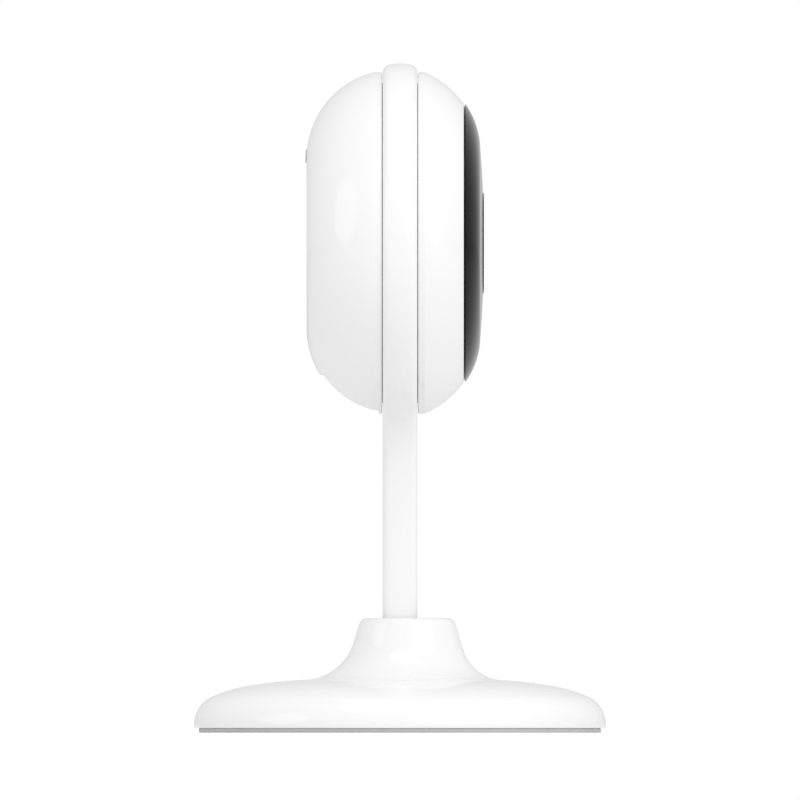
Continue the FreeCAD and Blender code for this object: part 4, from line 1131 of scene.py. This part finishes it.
@dataclass
class HeadCase:
    """The head's two shells, with the groove for the ring between them."""

    workshop: Workshop
    groove_floor: float = 27.6 * MM
    groove_half: float = 3.09 * MM
    girdle: float = 29.5 * MM
    edge: float = 0.3 * MM
    wall: float = 1.5 * MM
    rear_girdle: float = 4.6 * MM
    rear_turn: float = 15.28 * MM
    rear_flat: float = 14.6 * MM
    rear_depth: float = float(corner_high("rear_shell")[1])
    front_girdle: float = 4.25 * MM
    front_turn: float = 16.3 * MM
    seam_depth: float = -float(corner_low("front_shell")[1])
    seam_radius: float = 24.1 * MM
    seam_lip: float = 0.05 * MM
    seat_bore: float = 20.3 * MM
    seat_depth: float = 2.4 * MM
    seat_step: float = 1.6 * MM
    front_ease: float = 0.5 * MM
    rear_ease: float = 0.2 * MM
    notch_half: float = 6.2 * MM
    notch_ceiling: float = 22.8 * MM
    notch_front: float = 3.7 * MM
    notch_corner: float = 1.2 * MM
    notch_soft: float = 0.5 * MM
    notch_wall: float = 1.3 * MM
    inlet_gap: float = 0.1 * MM
    inlet_corner: float = 0.5 * MM
    button_rise: float = float(middle("pair_button")[2]) - HEAD_HEIGHT
    button_half_length: float = 3.5 * MM
    button_half_height: float = 1.2 * MM
    button_gap: float = 0.12 * MM
    grille_hole: float = 0.55 * MM
    grille_pitch: float = 2.3 * MM
    grille_rings: int = 4
    grille_lip: float = 0.12 * MM

    def front(self) -> None:
        """The front shell: groove, girdle, a long shoulder and the seat of the dark cover."""
        wall, edge, lip = self.wall, self.edge, self.seam_lip
        seat = self.seam_depth - self.seat_depth
        profile = (
            Profile(0.0, self.groove_floor)
            .line(self.groove_half, self.groove_floor)
            .line(self.groove_half, self.girdle - edge)
            .arc(self.groove_half + edge, self.girdle, -edge, 6)
            .line(self.front_girdle, self.girdle, hold=0.03 * MM)
            .arc(self.seam_depth - lip, self.seam_radius + 0.7 * lip, -self.front_turn, 30)
            .arc(self.seam_depth, self.seam_radius - lip * 0.6, -2 * lip, 5)
            .line(self.seam_depth, self.seat_bore)
            .line(seat, self.seat_bore)
            .line(seat, self.seat_bore + self.seat_step)
            .line(self.seam_depth - self.seat_step, self.seat_bore + self.seat_depth)
            .arc(self.groove_half + wall, self.girdle - wall - self.front_ease,
                 self.front_turn - wall, 16)
            .line(self.groove_half + wall, self.groove_floor - wall)
            .line(0.0, self.groove_floor - wall)
        )
        turned = lathe(profile.points(), Turning.HEAD, 240, closed=True)
        shell = Shell(turned).mesh_object("head_front")
        self.workshop.dress(shell, "head", "white_gloss", ["front_shell"])

    def rear_skin(self) -> Grid:
        """The rear shell's wall, from the middle of its back out to the groove and in again.

        Returns:
            The points and the faces.
        """
        wall, edge = self.wall, self.edge
        profile = (
            Profile(-self.rear_depth, 0.0)
            .line(-self.rear_depth, self.rear_flat, steps=7)
            .arc(-self.rear_girdle, self.girdle - 0.02 * MM, -self.rear_turn, 44)
            .line(-self.groove_half - edge, self.girdle, hold=0.02 * MM)
            .arc(-self.groove_half, self.girdle - edge, -edge, 6)
            .line(-self.groove_half, self.groove_floor)
            .line(0.0, self.groove_floor)
            .line(0.0, self.groove_floor - wall)
            .line(-self.groove_half - wall, self.groove_floor - wall)
            .line(-self.groove_half - wall, self.girdle - wall - self.rear_ease, hold=0.02 * MM)
            .arc(wall - self.rear_depth, self.rear_flat, self.rear_turn - wall, 24)
            .line(wall - self.rear_depth, 0.0, steps=7)
        )
        return lathe(profile.points(), Turning.HEAD, 240)

    def notch(self) -> bpy.types.Object:
        """The room for the power plug, cut up into the rear shoulder, with round inner corners.

        Returns:
            The solid to cut away.
        """
        reach = self.rear_depth + 2 * MM
        centre, half = (reach + self.notch_front) / 2, (reach - self.notch_front) / 2
        corner, soft = self.notch_corner, self.notch_soft
        turn = np.linspace(0, math.pi / 2, 6)
        ceiling = HEAD_HEIGHT - self.notch_ceiling
        levels = np.concatenate([
            [ceiling], ceiling - soft + soft * np.cos(turn), [HEAD_HEIGHT - self.girdle - MM] * 2,
        ])
        inset = np.concatenate([[0.0], soft * (1 - np.sin(turn)), [0.0, 0.0]])
        rings = np.stack([
            rounded_box(self.notch_half - away, half - away, corner - away) for away in inset
        ])
        rings[[0, -1]] = 0.0
        return Shell(loft(rings + [0.0, centre], levels, foot_lift)).mesh_object("notch")

    def middle_of_wall(self) -> bpy.types.Object:
        """A solid bounded by the middle of the rear shell's wall.

        Returns:
            The solid that the notch's walls are kept within.
        """
        half = self.wall / 2
        profile = (
            Profile(half - self.rear_depth, 0.0)
            .line(half - self.rear_depth, self.rear_flat)
            .arc(-self.rear_girdle, self.girdle - half, half - self.rear_turn, 24)
            .line(-self.groove_half - half, self.girdle - half)
            .line(-self.groove_half - half, self.groove_floor - half)
            .line(-half, self.groove_floor - half)
            .line(-half, 0.0)
        )
        return Shell(lathe(profile.points(), Turning.HEAD, 96)).mesh_object("middle_of_wall")

    def notch_walls(self) -> bpy.types.Object:
        """The walls that close the notch off from the inside of the head.

        Returns:
            The solid to fuse on, before the notch is cut out of it.
        """
        wall, reach = self.notch_wall, self.rear_depth
        front = self.notch_front - wall
        centre, half = (reach + front) / 2, (reach - front) / 2
        outline = rounded_box(self.notch_half + wall, half, self.notch_corner) + [0.0, centre]
        ceiling = HEAD_HEIGHT - self.notch_ceiling + wall
        walls = Shell(bar(outline, ceiling, HEAD_HEIGHT - self.girdle, foot_lift))
        return combine(walls.mesh_object("notch_walls"), [self.middle_of_wall()], Join.KEEP)

    def grille(self) -> bpy.types.Object:
        """The speaker's holes in rings of six times the ring's number, each with a soft mouth.

        Returns:
            The solids to cut away.
        """
        back, lip, hole = -self.rear_depth, self.grille_lip, self.grille_hole
        end = back + 2.5 * MM
        levels = np.array([back - MM, back - MM, back, back + lip, end, end])
        growth = np.array([0.0, hole + lip, hole + lip, hole, hole, 0.0])[:, None, None]
        drill = circle(20) * growth
        grille = Shell()
        for ring in range(self.grille_rings):
            count = max(6 * ring, 1)
            for step in range(count):
                turn = math.pi / 2 + 2 * math.pi * step / count
                spread = self.grille_pitch * ring
                centre = np.array([math.cos(turn), math.sin(turn)]) * spread
                grille.add(loft(centre + drill, levels, head_lift))
        return grille.mesh_object("grille")

    def openings(self) -> list[bpy.types.Object]:
        """Cutters for the grille, the button's slot and the power inlet.

        Returns:
            The solids to cut away.
        """
        back, gap = -self.rear_depth, self.button_gap
        length, height = self.button_half_length + gap, self.button_half_height + gap
        slot = rounded_box(length, height, height - 1e-6) + [0.0, self.button_rise]
        half = (corner_high("power_inlet") - corner_low("power_inlet")) / 2 + self.inlet_gap
        inlet = rounded_box(half[0], half[1], self.inlet_corner) + [0.0, middle("power_inlet")[1]]
        mouth = HEAD_HEIGHT - self.notch_ceiling
        return [
            self.grille(),
            Shell(bar(slot, back - MM, back + 4 * MM, head_lift)).mesh_object("button_slot"),
            Shell(bar(inlet, mouth - MM, mouth + 2 * MM, foot_lift)).mesh_object("inlet_hole"),
        ]

    def rear(self) -> None:
        """The rear shell, with its notch and openings."""
        shell = Shell(self.rear_skin()).mesh_object("head_rear")
        combine(shell, [self.notch_walls()], Join.FUSE)
        combine(shell, [self.notch(), *self.openings()], Join.CUT)
        self.workshop.dress(shell, "head", "white_gloss", ["rear_shell"])

    def build(self) -> None:
        """Makes both shells."""
        self.front()
        self.rear()


@dataclass
class FrontFace:
    """The dark cover and the round window in its middle."""

    workshop: Workshop
    seam_depth: float = 11.0 * MM
    seam_radius: float = 24.1 * MM
    brow_depth: float = 13.87 * MM
    brow_radius: float = 16.4 * MM
    shoulder_turn: float = 13.8 * MM
    eye_depth: float = 14.33 * MM
    inside: float = 12.6 * MM
    window_radius: float = 8.75 * MM
    window_seat: float = 13.1 * MM
    window_front: float = -float(corner_low("lens_window")[1])
    window_edge: float = 0.2 * MM
    window_gap: float = 0.02 * MM
    ledge: float = 7.9 * MM
    lip: float = 0.1 * MM
    rib: float = 3.6 * MM
    skirt: float = 0.4 * MM
    groove: tuple[float, float] = (0.24 * MM, 0.08 * MM)
    tape: float = 0.2 * MM
    pipe_hole: float = 0.73 * MM
    sound_hole: float = 0.5 * MM

    def dome_radius(self) -> float:
        """Radius of the shallow dome, from its rise between the brow and the window.

        Two points on a flat circle differ in depth by the difference of their squared distances
        from the axis over twice its radius.

        Returns:
            The radius in metres.
        """
        rise = self.eye_depth - self.brow_depth
        return (self.brow_radius ** 2 - self.window_radius ** 2) / (2 * rise)

    def dome_depth(self, radius: float) -> float:
        """Depth of the dome at a radius from the axis: the brow's depth and the rise from there."""
        far, near = self.dome_radius() ** 2 - np.square([self.brow_radius, radius])
        return self.brow_depth + math.sqrt(near) - math.sqrt(far)

    def cover(self) -> None:
        """The cover: a shoulder arc, a shallow dome, and a stepped seat for the window."""
        lip, hole = self.lip, self.window_radius
        rim_depth, rim_radius = self.seam_depth + self.groove[0], self.seam_radius - self.groove[1]
        rib, back = self.seam_radius - self.rib, self.seam_depth + self.tape
        skirt = self.seam_radius - self.skirt
        profile = (
            Profile(back, rib)
            .line(back, skirt - lip)
            .line(self.seam_depth, skirt - lip)
            .line(self.seam_depth, skirt, hold=0.02 * MM)
            .line(rim_depth, skirt, hold=0.02 * MM)
            .line(rim_depth, rim_radius - lip, hold=0.02 * MM)
            .arc(rim_depth + lip, rim_radius - 0.4 * lip, -lip, 4)
            .arc(self.brow_depth, self.brow_radius, -self.shoulder_turn, 30)
            .arc(self.dome_depth(hole + lip), hole + lip, -self.dome_radius(), 8)
            .arc(self.dome_depth(hole + lip) - lip, hole, -lip, 4)
            .line(self.window_seat, hole)
            .line(self.window_seat, self.ledge)
            .line(self.inside, self.ledge)
            .line(self.inside, rib)
        )
        turned = lathe(profile.points(), Turning.HEAD, 240, closed=True)
        cover = Shell(turned).mesh_object("dark_cover")
        combine(cover, self.small_holes(), Join.CUT)
        self.workshop.dress(cover, "head", "black_gloss", ["front_cover"])

    def small_holes(self) -> list[bpy.types.Object]:
        """Cutters for the light pipe and the microphone.

        Returns:
            The solids to cut away.
        """
        ends = self.inside - MM, self.eye_depth + MM
        cutters = []
        for node, radius in (("light_pipe", self.pipe_hole), ("microphone", self.sound_hole)):
            outline = circle(24) * radius + [0.0, middle(node)[2] - HEAD_HEIGHT]
            cutters.append(Shell(bar(outline, *ends, head_lift)).mesh_object("small_hole"))
        return cutters

    def window(self) -> None:
        """The glass window: a flat disc with a rounded front edge, a hair proud of the cover."""
        edge, radius = self.window_edge, self.window_radius - self.window_gap
        profile = (
            Profile(self.window_seat, 0.0)
            .line(self.window_seat, radius, steps=4)
            .line(self.window_front - edge, radius)
            .arc(self.window_front, radius - edge, -edge, 6)
            .line(self.window_front, 0.0, steps=4)
        )
        glass = Shell(lathe(profile.points(), Turning.HEAD, 160)).mesh_object("window_glass")
        self.workshop.dress(glass, "head", "clear_glass", ["lens_window"])

    def build(self) -> None:
        """Makes the cover and the window."""
        self.cover()
        self.window()


@dataclass
class PairButton:
    """The small oval button in the head's back; its face follows the case."""

    workshop: Workshop
    case: HeadCase
    proud: float = 0.2 * MM
    edge: float = 0.15 * MM
    lip: float = 0.7 * MM
    lip_depth: float = 0.5 * MM
    lip_thick: float = 0.6 * MM

    def case_depth(self, radius: Array) -> Array:
        """Depth of the case's back at a radius: flat, then falling along the shoulder's circle.

        Args:
            radius: Distances from the head's axis.

        Returns:
            The depths, which are negative behind the ring.
        """
        out = np.maximum(radius - self.case.rear_flat, 0.0)
        turn = self.case.rear_turn
        return -(self.case.rear_depth - turn + np.sqrt(turn ** 2 - out ** 2))

    def build(self) -> None:
        """Makes the button: an oval carried from its lip to a face with a rounded edge."""
        half_height = self.case.button_half_height
        turn = np.linspace(0, math.pi / 2, 7)
        inside = -self.case.rear_depth + self.case.wall + self.lip_depth
        out = np.concatenate([
            [-half_height, self.lip, self.lip, 0.0, 0.0],
            -self.edge * (1 - np.cos(turn)),
            np.linspace(-self.edge, -half_height, 6)[1:],
        ])
        straight = self.case.button_half_length - half_height
        rings = np.stack([
            rounded_box(straight + size, size, size * 0.999999)
            for size in np.maximum(half_height + out, 1e-9)
        ]) + [0.0, self.case.button_rise]
        face = self.case_depth(np.linalg.norm(rings, axis=-1)) - self.proud
        drop = np.concatenate([np.zeros(5), self.edge * (1 - np.sin(turn)), np.zeros(5)])
        depth = face + drop[:, None]
        depth[:2], depth[2:4], depth[4] = inside + self.lip_thick, inside, depth[5]
        button = Shell(loft(rings, depth, head_lift)).mesh_object("oval_button", fill=True)
        self.workshop.dress(button, "button", "button_grey", ["pair_button"])


@dataclass
class Optics:
    """What shows through the window: the barrel's stepped mouth and its coated glasses."""

    workshop: Workshop
    front: float = -float(corner_low("lens_barrel")[1])
    back: float = -float(corner_high("lens_barrel")[1])
    head_radius: float = 7.0 * MM
    body_radius: float = 6.0 * MM
    head_back: float = 9.6 * MM
    bore: float = 4.9 * MM
    rear_bore: float = 3.7 * MM
    seat: float = 3.2 * MM
    mouth: float = 6.2 * MM
    mouth_depth: float = 1.0 * MM
    edge: float = 0.3 * MM
    ribs: int = 5
    glass_gap: float = 0.02 * MM
    glass_rise: float = 0.8 * MM
    elements: tuple[tuple[float, float], ...] = ((10.0, 11.3), (6.3, 7.6), (3.2, 4.7))

    def barrel(self) -> None:
        """The barrel, its mouth stepped inwards by a stair of fine rings that kill stray light."""
        step, rise = (self.mouth - self.bore) / self.ribs, self.mouth_depth / self.ribs
        profile = (
            Profile(self.back, self.rear_bore)
            .line(self.back, self.body_radius)
            .line(self.head_back, self.body_radius)
            .line(self.head_back, self.head_radius)
            .line(self.front - self.edge, self.head_radius)
            .arc(self.front, self.head_radius - self.edge, -self.edge, 5)
            .line(self.front, self.mouth)
        )
        for count in range(1, self.ribs + 1):
            depth = self.front - rise * count
            profile.line(depth, self.mouth - step * (count - 1), hold=0.01 * MM)
            profile.line(depth, self.mouth - step * count, hold=0.01 * MM)
        profile.line(self.seat, self.bore).line(self.seat, self.rear_bore)
        turned = lathe(profile.points(), Turning.HEAD, 128, closed=True)
        barrel = Shell(turned).mesh_object("stepped_barrel")
        self.workshop.dress(barrel, "head", "black_plastic", ["lens_barrel"])

    def glasses(self) -> None:
        """Three lens elements: a flat back, a short edge and a spherical front each."""
        reach, rise = self.bore - self.glass_gap, self.glass_rise
        turn = (reach ** 2 + rise ** 2) / (2 * rise)
        shell = Shell()
        for back, tip in self.elements:
            profile = (
                Profile(back * MM, 0.0)
                .line(back * MM, reach, steps=3)
                .line(tip * MM - rise, reach)
                .arc(tip * MM, 0.0, -turn, 16)
            )
            shell.add(lathe(profile.points(), Turning.HEAD, 96))
        glasses = shell.mesh_object("coated_lenses")
        self.workshop.dress(
            glasses, "head", "clear_glass", ["lens_glasses"], self.workshop.coated,
        )

    def build(self) -> None:
        """Makes the barrel and its glasses."""
        self.barrel()
        self.glasses()


@dataclass(frozen=True)
class SoftLight:
    """A large soft lamp that faces the head; azimuth 0 is in front of it, 270 at the camera."""

    name: str
    azimuth: float
    elevation: float
    size: float
    power: float
    distance: float = 2.0

    def place(self, target: Array) -> None:
        """Adds the lamp, turned so that its -Z points at a target.

        Its direction from the target is (sin a cos e, -cos a cos e, sin e).

        Args:
            target: The point that it faces.
        """
        turn, tilt = math.radians(self.azimuth), math.radians(self.elevation)
        level = math.cos(tilt)
        away = np.array([math.sin(turn) * level, -math.cos(turn) * level, math.sin(tilt)])
        lamp = bpy.data.lights.new(self.name, "AREA")
        lamp.shape, lamp.size, lamp.energy = "DISK", self.size, self.power
        stand = bpy.data.objects.new(self.name, lamp)
        stand.location = target + away * self.distance
        stand.rotation_euler = (math.pi / 2 - tilt, 0.0, turn)
        stand.visible_camera = False
        bpy.context.scene.collection.objects.link(stand)
        log.info("%s at azimuth %.0f", self.name, self.azimuth)


@dataclass
class Studio:
    """A pale floor, soft lights and the level side camera."""

    view_width: float = 138.1 * MM
    middle: float = 57.4 * MM
    distance: float = 1.0
    floor_radius: float = 9.0
    floor_tone: float = 0.86
    glow: float = 0.70
    lights: tuple[SoftLight, ...] = (
        SoftLight("key_light", 259, 60, 1.3, 6.5),
        SoftLight("front_side_light", 305, 25, 1.9, 9.0),
        SoftLight("front_low_light", 330, 13, 0.8, 3.0),
        SoftLight("rear_light", 200, 16, 1.2, 3.6),
        SoftLight("top_light", 270, 85, 1.3, 2.4),
    )

    def floor(self) -> None:
        """A wide pale disc under the foot."""
        ring = np.array([0.0, 0.3, 1.5, self.floor_radius])
        profile = np.stack([np.zeros_like(ring), ring], 1)
        floor = Shell(lathe(profile, Turning.FOOT, 96)).mesh_object("floor")
        shader = Shader("pale_floor")
        shader.set(Base_Color=(*[self.floor_tone] * 3, 1.0), Roughness=1.0, Specular_IOR_Level=0.0)
        floor.data.materials.append(shader.material)

    def surround(self) -> None:
        """A plain white surround for the camera, and a dimmer one for the light."""
        world = bpy.data.worlds.new("surround")
        bpy.context.scene.world = world
        world.use_nodes = True
        nodes, links = world.node_tree.nodes, world.node_tree.links
        nodes.clear()
        path, mix = nodes.new("ShaderNodeLightPath"), nodes.new("ShaderNodeMixShader")
        glow, plain = nodes.new("ShaderNodeBackground"), nodes.new("ShaderNodeBackground")
        out = nodes.new("ShaderNodeOutputWorld")
        glow.inputs["Color"].default_value = (*[self.glow] * 3, 1.0)
        plain.inputs["Color"].default_value = (1.0, 1.0, 1.0, 1.0)
        links.new(path.outputs["Is Camera Ray"], mix.inputs[0])
        links.new(glow.outputs[0], mix.inputs[1])
        links.new(plain.outputs[0], mix.inputs[2])
        links.new(mix.outputs[0], out.inputs["Surface"])

    def camera(self) -> None:
        """A level camera square to the side, with parallel sight lines."""
        view = bpy.data.cameras.new("side_camera")
        view.type = "ORTHO"
        view.ortho_scale = self.view_width
        stand = bpy.data.objects.new("side_camera", view)
        stand.location = (-self.distance, 0.0, self.middle)
        stand.rotation_euler = (math.pi / 2, 0.0, -math.pi / 2)
        bpy.context.scene.collection.objects.link(stand)
        bpy.context.scene.camera = stand

    def build(self) -> None:
        """Sets up the camera, the surround, the floor and the lights."""
        self.camera()
        self.surround()
        self.floor()
        for light in self.lights:
            light.place(np.array([0.0, 0.0, self.middle]))
        bpy.context.scene.view_settings.view_transform = "Standard"


def main() -> None:
    """Builds every sub-assembly and the studio."""
    logging.basicConfig(level=logging.INFO, format="%(name)s: %(message)s")
    workshop = Workshop()
    workshop.dress_frame()
    case = HeadCase(workshop)
    parts = (
        Foot(workshop), RingStand(workshop), case, FrontFace(workshop), Optics(workshop),
        PairButton(workshop, case), Studio(),
    )
    for part in parts:
        part.build()


if __name__ == "__main__":
    main()
